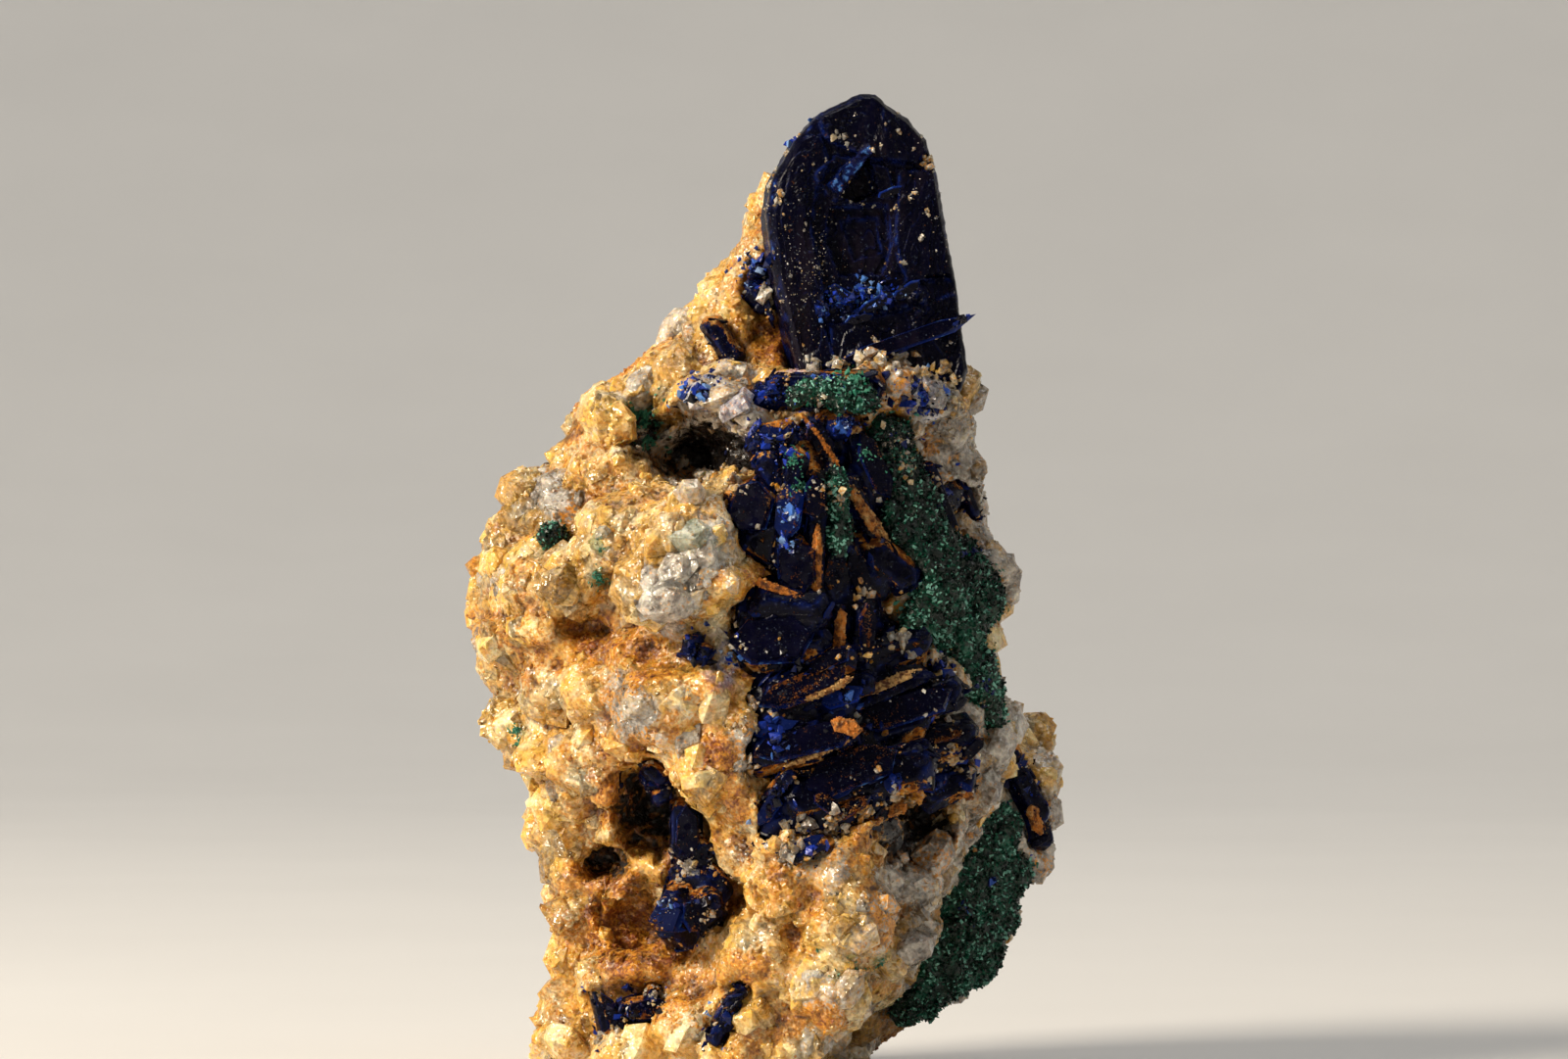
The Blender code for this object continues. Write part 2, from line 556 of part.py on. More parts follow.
COLUMNS = [
    (4.6, 41.3, 1.0, 9.2, 1.9, 1.8, 82, 0, -12),
    (5.4, 36.9, 0.3, 5.6, 3.3, 1.3, 88, 0, 4),
    (6.4, 38.6, 0.7, 9.0, 1.6, 1.6, 88, 0, -48),
    (9.8, 44.9, 0.6, 7.0, 1.9, 1.3, -66, 0, 16),
    (9.8, 41.2, 0.4, 6.4, 1.6, 1.2, -60, 24, 20),
    (1.9, 41.5, 0.9, 4.4, 3.5, 1.5, -36, 6, -6),
    (3.4, 46.2, 0.9, 4.4, 2.8, 1.4, 10, -18, 0),
    (3.4, 43.9, 0.5, 4.0, 2.2, 1.3, -64, 0, 0),
    (11.7, 37.4, 0.4, 5.4, 2.9, 1.3, -38, 0, 18),
    (9.5, 32.6, 0.9, 4.8, 1.6, 1.4, 82, 0, 10),
    (8.1, 32.3, 0.8, 5.4, 1.0, 1.3, 92, 0, -20),
    (8.0, 47.4, 0.7, 2.6, 2.2, 1.6, 20, 12, 0),
    (6.4, 45.4, -0.7, 4.6, 3.4, 1.4, -56, 0, 0),
]
RIGHT_BLADES = [
    (16.4, 44.4, 0.6, 8.6, 1.3, 1.5, -62, 0, 40),
    (15.5, 41.6, 0.3, 7.4, 1.3, 1.5, -64, 0, 38),
]
LEDGE_SLABS = [
    (5.2, 50.0, 0.9, 5.4, 2.5, 2.2, 2, 14, 0),
    (8.8, 50.1, 1.0, 5.6, 2.5, 2.2, 1, 16, 4),
    (3.0, 49.5, 0.7, 3.0, 2.0, 1.8, -12, 10, 0),
]
KNOB = [
    (-2.8, 18.6, -0.9, 5.2, 2.5, 2.4, 90, 0, -16),
    (-3.2, 12.7, 0.5, 5.4, 4.0, 3.6, 62, 6, -24),
    (-1.4, 13.2, 0.1, 4.0, 3.2, 2.8, 38, 0, 10),
]
FOOT_CLUSTER = [
    (-8.6, 5.2, 0.7, 5.6, 1.7, 1.6, -76, 0, -10),
    (-6.4, 5.7, 0.9, 3.8, 2.3, 1.8, 6, 10, 0),
    (-5.3, 6.6, 0.8, 2.4, 1.1, 1.2, 70, 0, 0),
    (-7.2, 3.4, 0.4, 3.4, 2.4, 1.6, -20, -10, 0),
]
SLIVERS = [
    (-0.3, 5.1, 2.1, 3.4, 1.2, 1.6, 68, 0, 8),
    (0.8, 7.2, 2.6, 2.4, 1.2, 1.6, 42, 0, 8),
]
LEFT_PATCH = [
    (-2.2, 32.2, 1.0, 1.9, 1.2, 1.2, 20, 20, 0),
    (-1.3, 31.3, 1.0, 1.7, 1.1, 1.2, 80, 0, 0),
    (-2.4, 31.3, 0.9, 1.5, 1.0, 1.1, -30, 0, 0),
]
THORN = [(-0.2, 53.5, 1.0, 4.4, 1.8, 1.7, -56, 8, -10)]
DARK_SHARDS = [
    (3.2, 56.2, 0.7, 3.4, 1.3, 1.2, -62, 0, -24),
    (2.1, 58.4, 0.6, 1.6, 1.0, 1.0, 40, 10, -10),
]
LEDGE_BLUE = [
    (-2.1, 50.0, 1.3, 2.2, 1.5, 1.5, 22, 12, 0),
    (-3.2, 49.5, 1.0, 1.6, 0.9, 1.1, 40, 0, 0),
]
CROWN_BLUE = [
    (14.4, 50.2, 0.5, 2.4, 1.7, 1.4, 30, 10, 16),
    (13.2, 49.6, 0.5, 1.7, 1.3, 1.3, -20, 0, 10),
]
VUG_BLADE = [(-7.9, 22.5, 0.9, 2.9, 1.2, 1.0, 84, 0, -30)]
VUG_SHARDS = [
    (-4.9, 22.7, 0.5, 2.4, 1.4, 1.3, -40, 0, 0),
    (-4.4, 21.2, 0.2, 2.0, 1.3, 1.3, 30, 0, 0),
]
LENS = [(6.0, 17.6, 2.6, 3.2, 1.1, 1.6, 26, 0, 8)]
CLEFT_BLUE = [
    (4.0, 22.0, 1.2, 3.6, 1.5, 1.3, 52, 0, -6),
    (3.0, 20.6, 1.6, 2.0, 1.2, 1.2, 40, 0, 0),
]
REAR_BLADES = [
    (21.7, 21.3, 0.7, 7.4, 2.4, 1.6, -60, 0, 26),
    (23.0, 18.2, 0.4, 4.4, 2.2, 1.5, -74, 0, 40),
]
# On the back, seen from behind, in the same terms.
BACK_CLUSTER = [
    (-3.0, 33.0, 0.6, 9.0, 3.4, 1.7, 58, 0, 10),
    (-5.4, 30.0, 0.6, 7.0, 2.6, 1.5, 20, 10, 0),
    (-1.2, 29.0, 0.5, 6.0, 2.4, 1.5, -34, -10, 0),
    (-4.4, 26.0, 0.5, 6.6, 2.8, 1.5, 8, 12, 0),
]
BACK_FOOT = [
    (6.0, 12.0, 0.7, 4.6, 2.0, 1.5, 50, 0, 0),
    (4.4, 10.4, 0.6, 3.6, 1.7, 1.4, -10, 0, 0),
]

# The low mass that a group's blades grow out of, as domes: across, height, radius.
STACK_ROOT = [
    (4.6, 33.0, 4.0), (8.0, 29.6, 4.2), (12.4, 29.2, 4.0), (5.2, 27.0, 3.8),
    (9.2, 24.6, 4.2), (13.6, 25.2, 3.6), (5.8, 21.8, 3.2), (10.6, 20.6, 3.0),
    (16.2, 23.4, 3.0), (11.4, 31.8, 2.8),
]  # fmt: skip
COLUMN_ROOT = [
    (4.4, 40.6, 3.6), (7.6, 38.0, 3.6), (9.6, 42.6, 3.4), (5.6, 44.6, 3.2),
    (11.0, 38.0, 3.0), (9.0, 34.2, 2.8), (2.4, 42.2, 2.2), (8.2, 46.6, 2.4),
]  # fmt: skip
RIGHT_ROOT = [(16.4, 43.6, 2.2), (15.8, 41.2, 2.0)]
SHARD_ROOT = [(2.8, 57.2, 1.6)]
VUG_ROOT = [(-4.8, 22.0, 1.5)]
BACK_ROOT = [(-3.6, 31.0, 3.4), (-3.0, 27.8, 3.2), (-5.4, 26.4, 2.6)]
KNOB_ROOT = [(-2.2, 14.4, 2.6), (-2.6, 16.8, 1.8)]
# A crust's domes, in the same terms.
FRONT_CRUST = [
    (11.6, 46.2, 2.0), (12.6, 43.2, 2.5), (13.2, 40.2, 2.9), (14.6, 37.8, 3.1),
    (17.0, 37.2, 2.4), (15.0, 34.9, 3.0), (16.4, 32.2, 2.8), (17.8, 29.6, 2.5),
    (15.8, 40.6, 2.2), (18.6, 35.0, 2.0), (13.4, 33.2, 1.9), (18.9, 27.4, 1.8),
]  # fmt: skip
REAR_CRUST = [
    (16.4, 13.8, 2.8), (18.6, 15.4, 2.5), (17.2, 10.4, 3.0), (19.6, 11.9, 2.5),
    (15.8, 7.6, 2.6), (18.6, 8.6, 2.2), (13.6, 5.8, 2.3), (20.8, 14.4, 1.9),
    (20.0, 18.0, 1.9), (18.2, 18.6, 1.7), (14.4, 10.2, 2.2),
]  # fmt: skip
CAP_CRUST = [(5.9, 48.4, 1.2), (7.4, 48.5, 1.3), (8.9, 48.5, 1.2)]
CAP_SINK = -1.6  # the cap's domes stand on the ledge, this many radii in front of the rock
BACK_CRUST = [
    (4.0, 38.0, 2.6), (6.6, 36.4, 2.8), (5.2, 33.8, 2.4), (8.8, 34.4, 2.2), (3.2, 41.0, 2.0),
]  # fmt: skip
ROOT_SINK = 0.2  # how far a root's domes are sunk, in radii
CRUST_SINK = -0.22  # a crust's domes stand out instead
CRUST_CLEAR = 0.85  # no scattered stone sits nearer to a crust's dome than this, in its radii
COLUMN_COAT = [(7.9, 40.8, 1.5, 6.8, 1.7, 1.9, 90, 0, 4)]  # the green column among the blue ones
BALL = (-12.2, 39.6, 2.0, 1.05)  # a round tuft of malachite: across, height, how proud, radius
BALL_SEED = 77
BALL_CORNERS = 14
BALL_JITTER = 0.1


def blades_on(tree, rows, hit=front_hit, side=-1):
    """The blades of a table, set at their distance from the core's surface."""
    chunks = []
    for across, height, proud, length, width, thick, turn, tilt, yaw in rows:
        place, _ = hit(tree, across, height)
        centre = (across, place.y + side * proud, height)
        chunks.append(blade(centre, length, width, thick, turn, tilt, yaw))
    return chunks


def domes_on(tree, rows, seed, hit=front_hit, sink=0.0):
    """Low domes that lie along the surface and grow together, sunk by a share of their radius."""
    chunks = []
    for i, (across, height, radius) in enumerate(rows):
        place, normal = hit(tree, across, height)
        chunks.append(dome(place - normal * sink * radius, normal, radius, seed + i))
    return chunks


def rooted(tree, rows, root, seed, hit=front_hit, side=-1):
    """Blades that grow together out of a low mass."""
    return blades_on(tree, rows, hit, side) + domes_on(tree, root, seed, hit, ROOT_SINK)


def malachite_ball(tree):
    across, height, proud, radius = BALL
    place, _ = front_hit(tree, across, height)
    centre = (across, place.y - proud, height)
    return [stone(centre, (radius,) * 3, BALL_SEED, BALL_CORNERS, BALL_JITTER)]


def pieces_on(tree):
    """Every crystal and crust: its name, its material and its convex solids. The first in the list
    keep their whole shape, and the later ones are cut to make room for them."""
    return [
        ("azurite_blade", "azurite", great_blade()),
        ("azurite_thorn", "azurite", blades_on(tree, THORN)),
        ("azurite_dark_shards", "azurite", rooted(tree, DARK_SHARDS, SHARD_ROOT, 190)),
        ("malachite_cap", "malachite", domes_on(tree, CAP_CRUST, 300, sink=CAP_SINK)),
        ("azurite_ledge", "azurite", blades_on(tree, LEDGE_SLABS)),
        ("azurite_ledge_blue", "azurite", blades_on(tree, LEDGE_BLUE)),
        ("azurite_crown_blue", "azurite", blades_on(tree, CROWN_BLUE)),
        ("azurite_columns", "azurite", rooted(tree, COLUMNS, COLUMN_ROOT, 200)),
        ("azurite_stack", "azurite", rooted(tree, STACK, STACK_ROOT, 220)),
        ("azurite_right_blades", "azurite", rooted(tree, RIGHT_BLADES, RIGHT_ROOT, 240)),
        ("azurite_left_patch", "azurite", blades_on(tree, LEFT_PATCH)),
        ("azurite_cleft", "azurite", blades_on(tree, CLEFT_BLUE)),
        ("azurite_lens", "azurite", blades_on(tree, LENS)),
        ("azurite_vug_blade", "azurite", blades_on(tree, VUG_BLADE)),
        ("azurite_vug_shards", "azurite", rooted(tree, VUG_SHARDS, VUG_ROOT, 270)),
        ("azurite_knob", "azurite", rooted(tree, KNOB, KNOB_ROOT, 250)),
        ("azurite_foot_cluster", "azurite", blades_on(tree, FOOT_CLUSTER)),
        ("azurite_slivers", "azurite", blades_on(tree, SLIVERS)),
        ("azurite_rear_blades", "azurite", blades_on(tree, REAR_BLADES)),
        ("azurite_back_cluster", "azurite", rooted(tree, BACK_CLUSTER, BACK_ROOT, 290, back_hit, 1)),
        ("azurite_back_foot", "azurite", blades_on(tree, BACK_FOOT, back_hit, 1)),
        ("malachite_column", "malachite", blades_on(tree, COLUMN_COAT)),
        ("malachite_ball", "malachite", malachite_ball(tree)),
        ("malachite_crust", "malachite", domes_on(tree, FRONT_CRUST, 320, sink=CRUST_SINK)),
        ("malachite_rear_crust", "malachite", domes_on(tree, REAR_CRUST, 360, sink=CRUST_SINK)),
        ("malachite_back_crust", "malachite", domes_on(tree, BACK_CRUST, 400, back_hit, CRUST_SINK)),
    ]


# ---------------------------------------------------------------- putting it together
MATERIALS = {  # colour, roughness
    "quartz_rock": ((0.72, 0.55, 0.30, 1.0), 0.55),
    "azurite": ((0.02, 0.03, 0.16, 1.0), 0.22),
    "malachite": ((0.02, 0.20, 0.12, 1.0), 0.45),
}


def material_of(name):
    colour, roughness = MATERIALS[name]
    material = bpy.data.materials.new(name)
    material.use_nodes = True
    shader = material.node_tree.nodes["Principled BSDF"]
    shader.inputs["Base Color"].default_value = colour
    shader.inputs["Roughness"].default_value = roughness
    shader.inputs["Metallic"].default_value = 0.0
    material.diffuse_color = colour
    return material


def largest_body(obj):
    """Keeps the largest connected body of the object's mesh and drops the chips."""
    solid = bmesh.new()
    solid.from_mesh(obj.data)
    left, bodies = set(solid.verts), []
    while left:
        body, todo = set(), [left.pop()]
        while todo:
            vert = todo.pop()
            body.add(vert)
            for edge in vert.link_edges:
                other = edge.other_vert(vert)
                if other in left:
                    left.discard(other)
                    todo.append(other)
        bodies.append(body)
    bodies.sort(key=len)
    chips = [vert for body in bodies[:-1] for vert in body]
    bmesh.ops.delete(solid, geom=chips, context="VERTS")
    solid.to_mesh(obj.data)
    solid.free()


def main():
    for obj in list(bpy.data.objects):
        bpy.data.objects.remove(obj)
    materials = {name: material_of(name) for name in MATERIALS}
    rock, core_tree = make_rock()
    taken = []  # each finished piece's box and its grown solids, which later pieces make room for
    for name, material, chunks in pieces_on(core_tree):
        sockets = [(box_of(s), s) for s in (grown(chunk) for chunk in chunks)]
        piece = object_of(name, chunks[0])
        if chunks[1:]:
            combine(piece, chunks[1:], "UNION")
        blocking = [s for box, s in taken if any(near(box, own) for own, _ in sockets)]
        if blocking:
            combine(piece, blocking, "DIFFERENCE")
        largest_body(piece)
        if len(piece.data.polygons) > SMALL_PIECE:
            thin(piece, PIECE_THINNING)
        piece.data.materials.clear()
        piece.data.materials.append(materials[material])
        taken += sockets
    combine(rock, [socket for _, socket in taken], "DIFFERENCE")
    thin(rock, SOCKETED_SHARE)
    largest_body(rock)
    rock.data.materials.clear()
    rock.data.materials.append(materials["quartz_rock"])
    for obj in bpy.data.objects:
        obj.data.transform(Matrix.Scale(METRES_PER_MM, 4))


main()
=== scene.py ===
"""Azurite specimen: the looks of the rock, its azurite crystals and its malachite crusts.

Everything here is worked out in millimetres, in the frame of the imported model, and made in metres.
"""

import math
import random

import bmesh
import bpy
import numpy as np
from bpy.props import FloatProperty, FloatVectorProperty, IntProperty, PointerProperty
from mathutils import Matrix, Vector, noise
from mathutils.bvhtree import BVHTree
from mathutils.kdtree import KDTree


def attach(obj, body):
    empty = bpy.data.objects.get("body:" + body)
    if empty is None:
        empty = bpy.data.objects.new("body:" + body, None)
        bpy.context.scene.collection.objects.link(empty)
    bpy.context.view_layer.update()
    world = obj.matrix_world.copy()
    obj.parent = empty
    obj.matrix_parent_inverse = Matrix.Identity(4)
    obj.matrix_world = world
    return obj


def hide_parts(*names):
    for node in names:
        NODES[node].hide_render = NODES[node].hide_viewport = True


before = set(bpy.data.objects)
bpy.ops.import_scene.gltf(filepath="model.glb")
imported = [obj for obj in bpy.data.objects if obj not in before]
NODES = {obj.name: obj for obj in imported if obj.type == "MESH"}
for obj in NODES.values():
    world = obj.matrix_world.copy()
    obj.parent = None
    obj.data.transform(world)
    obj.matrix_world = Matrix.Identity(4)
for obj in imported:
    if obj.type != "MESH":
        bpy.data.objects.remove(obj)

bl_info = {
    "name": "Azurite Specimen",
    "version": (1, 0, 0),
    "blender": (4, 5, 0),
    "location": "3D View > Sidebar > Azurite",
    "description": "Quartz rock with azurite crystals and malachite crusts",
    "category": "Add Mesh",
}

MM = 0.001
AZURITE_GROUPS = sorted(n for n in NODES if n.startswith("azurite_") and n != "azurite_blade")
MALACHITE_CRUSTS = ["malachite_crust", "malachite_rear_crust", "malachite_back_crust"]
MALACHITE_PARTS = ["malachite_cap", "malachite_column", "malachite_ball"]
GOLDEN_ANGLE = math.pi * (3 - math.sqrt(5))
# The front looks along -Y. Lines that look for a place on it start this far out.
FRONT_START = -60.0
INWARD = Vector((0, 1, 0))
FRONT_DEPTH = 4.0  # round patches of colour have faded out this far behind the middle
# Where the chance values of each piece start, so that they are the same each time.
SEEDS = {"rock": 3, "grains": 5, "plates": 8, "malachite": 12}
SEEDS |= {"druse": 21, "tufts": 25, "laths": 29, "crumbs": 33}
# The same for the shapes of the plates of each kind.
PLATE_SEEDS = {"on the great blade": 70, "laths": 120, "single": 300}

# ------------------------------------------------------------------ where each colour lies
# Round patches on the front: across, height, radius and strength.
STAINED = [
    (-9.1, 32.1, 2.4, 1.0), (-13.3, 31.2, 1.3, 0.8), (-5.3, 30.8, 2.0, 0.9), (-6.9, 33.2, 1.6, 0.7),
    (-6.3, 20.4, 3.6, 0.9), (-0.6, 23.6, 2.3, 1.0), (0.9, 20.8, 2.0, 0.8), (-7.4, 11.6, 3.6, 1.0),
    (-4.4, 7.6, 2.6, 0.9), (3.9, 16.6, 2.6, 0.6), (11.3, 20.0, 2.0, 0.9), (3.4, 53.6, 2.2, 1.0),
    (2.2, 57.6, 2.2, 0.8), (0.8, 55.0, 2.4, 0.5), (4.2, 35.5, 3.2, 1.0), (-9.5, 15.5, 2.2, 0.8),
    (14.5, 22.0, 2.4, 0.8), (-2.5, 28.6, 2.0, 0.5), (-10.4, 46.0, 1.6, 0.4), (-4.8, 9.4, 3.0, 0.9),
    (17.8, 21.4, 2.2, 0.6), (6.6, 13.6, 2.2, 0.4), (9.2, 46.0, 2.2, 0.7), (-12.0, 6.0, 2.0, 0.5),
    (-12.0, 23.0, 6.0, 0.38), (-10.0, 9.0, 7.0, 0.45), (-15.0, 33.0, 5.0, 0.30), (2.0, 60.0, 5.0, 0.42),
    (-4.0, 52.5, 4.0, 0.32), (4.0, 12.0, 5.0, 0.32), (0.5, 4.0, 5.0, 0.30), (-11.0, 43.0, 3.0, 0.34),
    (-8.2, 14.2, 2.6, 0.95), (-7.2, 8.6, 2.4, 0.95), (-3.4, 16.4, 1.6, 0.8), (-6.0, 24.6, 1.4, 0.7),
]  # fmt: skip
# Where the iron stain stays away.
CLEAN = [(-2.6, 46.2, 5.0, 0.55), (-4.2, 37.6, 3.2, 0.35), (-13.0, 41.6, 2.4, 0.3), (-12.4, 27.0, 2.4, 0.25)]
# Faces of the smaller azurite with painted light: painted reflection and glow of light through them.
PAINTED_LIGHT_AZURITE = [
    (-4.0, 12.8, 1.5, 0.45), (3.7, 25.6, 1.7, 0.55), (8.1, 28.1, 1.6, 0.45), (14.6, 22.2, 1.5, 0.45),
    (3.0, 19.9, 1.2, 0.40), (4.6, 40.6, 1.2, 0.30), (2.6, 48.4, 2.6, 0.40), (8.2, 47.6, 1.2, 0.55),
    (5.6, 17.9, 1.4, 0.40), (-2.0, 31.6, 1.6, 0.30), (17.6, 24.0, 1.6, 0.30), (21.4, 24.0, 2.0, 0.25),
]  # fmt: skip
# Malachite that is paler than the rest.
TEAL_MALACHITE = [
    (7.7, 43.4, 1.1, 0.60), (7.7, 41.4, 1.1, 0.80), (7.7, 39.4, 1.1, 0.75), (6.6, 50.0, 1.6, 0.45),
    (8.8, 50.0, 1.6, 0.50), (13.4, 34.6, 2.4, 0.45), (14.8, 31.6, 2.8, 0.50), (16.4, 28.6, 2.4, 0.55),
    (19.0, 14.0, 3.0, 0.20),
]  # fmt: skip
# Quartz without its cream colour.
COLOURLESS = [
    (-12.6, 42.3, 2.2, 0.9), (-4.8, 36.2, 3.6, 0.62), (0.2, 48.2, 3.0, 0.9), (13.6, 14.6, 3.6, 0.9),
    (16.2, 23.4, 3.0, 0.8), (18.2, 44.2, 4.0, 0.7), (19.4, 36.8, 3.6, 0.7), (14.6, 50.2, 3.6, 0.7),
    (8.8, 51.0, 3.0, 0.6), (-1.4, 38.0, 2.6, 0.5), (-6.6, 27.4, 2.4, 0.5), (13.0, 10.0, 3.0, 0.6),
    (22.6, 23.0, 3.0, 0.4), (2.0, 24.6, 1.8, 0.6), (12.4, 32.6, 2.0, 0.8), (-3.6, 45.6, 3.2, 0.5),
]  # fmt: skip
# Quartz dusted with azurite.
BLUE_DUST = [
    (0.4, 30.9, 2.1, 0.9), (1.6, 46.6, 2.6, 0.7), (0.9, 48.6, 1.6, 0.6), (-16.6, 35.4, 0.8, 0.4),
    (5.0, 49.8, 3.0, 0.6), (14.0, 49.4, 1.7, 0.6), (-2.0, 50.2, 1.3, 0.6),
]  # fmt: skip
# Where tiny blue crystals grow: across, height, radius, how many and how pale, the palest standing as painted
# glints.
BLUE_DRUSE = [
    (14.3, 49.3, 1.9, 240, 0.66), (-2.0, 50.1, 1.4, 210, 0.66), (3.2, 49.9, 1.6, 110, 0.60),
    (3.3, 46.2, 2.2, 170, 0.52), (8.6, 47.4, 1.0, 90, 0.76), (4.6, 41.2, 0.9, 80, 0.78),
    (4.4, 38.9, 0.8, 46, 0.74), (8.3, 28.2, 1.1, 36, 0.58), (3.7, 25.4, 1.2, 60, 0.60),
    (11.8, 22.3, 0.6, 20, 0.60), (15.0, 22.0, 0.8, 26, 0.60), (-2.0, 31.6, 1.2, 46, 0.45),
    (-4.2, 13.4, 1.1, 40, 0.80), (-1.4, 13.8, 1.4, 40, 0.35), (-6.6, 5.8, 2.2, 60, 0.35),
    (0.2, 5.8, 1.4, 36, 0.35), (1.9, 59.2, 1.3, 70, 0.72), (2.6, 57.8, 0.8, 30, 0.78),
    (18.6, 29.0, 1.2, 40, 0.40), (15.9, 42.6, 1.6, 40, 0.35), (17.6, 38.4, 1.2, 30, 0.35),
    (22.2, 21.0, 1.6, 30, 0.40), (17.6, 12.4, 1.0, 26, 0.58), (19.4, 14.4, 0.8, 16, 0.58),
    (5.4, 30.4, 3.0, 40, 0.30), (9.6, 26.4, 3.4, 40, 0.30), (5.9, 17.8, 1.4, 40, 0.48),
    (3.6, 21.6, 1.3, 40, 0.40), (12.6, 46.2, 1.6, 30, 0.35), (7.2, 50.8, 1.6, 40, 0.55),
    (15.5, 30.4, 1.2, 70, 0.45), (0.5, 31.2, 1.0, 24, 0.90), (5.6, 47.6, 1.4, 40, 0.50),
    (6.0, 69.6, 0.6, 30, 0.76), (7.7, 70.6, 0.45, 18, 0.80), (4.7, 67.9, 0.5, 20, 0.70),
    (8.0, 56.5, 1.0, 130, 0.70),
    (9.8, 57.0, 1.0, 150, 0.72), (11.4, 56.9, 1.0, 110, 0.66), (7.2, 55.5, 0.7, 40, 0.66),
    (12.6, 57.3, 0.5, 20, 0.40), (16.9, 55.0, 0.6, 20, 0.55), (9.4, 55.5, 0.6, 20, 0.40),
]  # fmt: skip
# Where tiny green crystals grow on the rock: across, height, radius and how many.
GREEN_TUFTS = [
    (-6.0, 48.4, 1.5, 110), (-5.6, 46.4, 1.1, 50), (-15.2, 38.3, 0.35, 24), (-8.9, 39.4, 0.45, 40),
    (-8.7, 38.6, 0.3, 18), (-8.8, 36.6, 0.65, 70), (-15.0, 25.6, 0.45, 50), (-14.9, 24.6, 0.35, 24),
    (-14.4, 22.0, 0.5, 30), (8.8, 8.9, 1.0, 100), (11.0, 9.4, 0.6, 40), (-1.8, 38.8, 0.3, 16),
    (6.6, 10.6, 0.3, 12), (4.8, 45.0, 0.9, 60), (5.4, 43.0, 0.6, 40), (12.4, 44.9, 0.9, 50),
    (9.2, 50.6, 1.2, 60), (10.0, 45.4, 0.6, 24), (-13.6, 45.2, 0.25, 8),
]  # fmt: skip
# Blades of iron crust: across, height, length, width, thickness, turn, tilt, yaw and paleness.
OCHRE_BLADES = [
    (6.5, 37.7, 6.3, 0.8, 0.8, 88, 10, -30, 0.15), (9.6, 41.7, 5.2, 0.9, 0.7, -59, 20, 10, 0.40),
    (10.7, 40.4, 3.8, 0.6, 0.6, -56, 20, 16, 0.70), (4.0, 35.7, 5.8, 0.9, 0.9, -22, 30, 0, 0.05),
    (8.1, 32.5, 4.7, 0.9, 0.9, 86, 10, -20, 0.30), (7.4, 28.9, 3.6, 0.5, 0.8, 25, 50, 0, 0.75),
    (11.6, 29.1, 5.8, 1.2, 0.8, 24, 40, 12, 0.95), (8.5, 26.3, 2.6, 1.3, 0.9, -18, 20, 0, 0.20),
    (6.6, 24.4, 4.8, 0.35, 0.6, 22, 40, 0, 0.80), (6.8, 46.3, 4.6, 0.35, 0.6, -55, 30, 0, 0.05),
    (11.8, 20.2, 2.6, 1.1, 0.9, 20, 10, 0, 0.30), (1.8, 38.0, 2.6, 0.8, 0.8, 84, 0, 20, 0.15),
    (22.6, 18.8, 2.6, 1.1, 0.9, -66, 0, 36, 0.30), (9.0, 47.0, 1.4, 0.5, 0.6, 10, 0, 0, 0.80),
    (15.6, 23.8, 2.2, 0.5, 0.6, 16, 40, 20, 0.45), (17.0, 21.2, 1.8, 0.7, 0.6, -30, 20, 20, 0.30),
]  # fmt: skip
# Hollows in the front: across, height, half width, half height, depth and how dark, where the darkness is
# painted shade.
HOLLOWS = [
    (-2.6, 46.2, 4.6, 2.7, 4.6, 0.55), (-1.4, 46.0, 2.9, 2.0, 5.6, 1.0), (-6.0, 47.6, 1.4, 2.4, 2.4, 0.8),
    (-5.4, 20.4, 2.7, 3.6, 3.4, 0.75), (-8.6, 16.2, 1.9, 1.4, 2.6, 0.7), (-6.6, 12.4, 2.8, 3.2, 1.6, 0.0),
    (-9.8, 32.6, 2.0, 1.1, 0.5, 0.0), (-5.6, 31.4, 1.5, 1.1, 0.4, 0.0), (-13.4, 31.0, 1.1, 0.8, 0.4, 0.0),
    (0.9, 13.9, 2.2, 1.4, 1.6, 0.3), (13.4, 18.4, 3.2, 2.3, 2.6, 0.85), (2.8, 54.6, 1.5, 1.5, 0.8, 0.0),
    (7.0, 18.9, 2.2, 0.9, 1.2, 0.7), (1.2, 45.4, 1.9, 1.7, 3.6, 0.95), (15.6, 30.4, 1.3, 1.0, 0.8, 0.5),
    (-2.0, 9.6, 1.4, 0.8, 0.9, 0.0), (-3.6, 44.4, 1.6, 0.9, 2.2, 0.6),
]  # fmt: skip
# Quartz dusted with malachite: across, height, radius and strength.
GREEN_DUST = [
    (-6.2, 48.2, 2.0, 0.7), (-15.2, 38.3, 0.5, 0.8), (-8.9, 39.3, 0.5, 0.8), (-8.7, 36.6, 0.8, 0.9),
    (-15.0, 25.6, 0.8, 0.9), (-14.4, 22.0, 0.5, 0.7), (8.8, 8.9, 1.3, 0.8), (11.0, 9.4, 0.9, 0.8),
    (-1.8, 38.8, 0.6, 0.5), (17.4, 12.0, 4.0, 0.4),
]  # fmt: skip


# ------------------------------------------------------------------ arrays
def mesh_arrays(mesh):
    """Corners, triangles and corner normals of a mesh, in its own unit."""
    mesh.calc_loop_triangles()
    place = np.empty(len(mesh.vertices) * 3)
    mesh.vertices.foreach_get("co", place)
    way = np.empty(len(mesh.vertices) * 3)
    mesh.vertices.foreach_get("normal", way)
    index = np.empty(len(mesh.loop_triangles) * 3, dtype=np.int64)
    mesh.loop_triangles.foreach_get("vertices", index)
    return place.reshape(-1, 3), index.reshape(-1, 3), way.reshape(-1, 3)


def joined(parts):
    """Corners and triangles of several sets of arrays, as one set."""
    corners, triangles, count = [], [], 0
    for own, faces, *_ in parts:
        corners.append(own)
        triangles.append(faces + count)
        count += len(own)
    return np.concatenate(corners), np.concatenate(triangles)


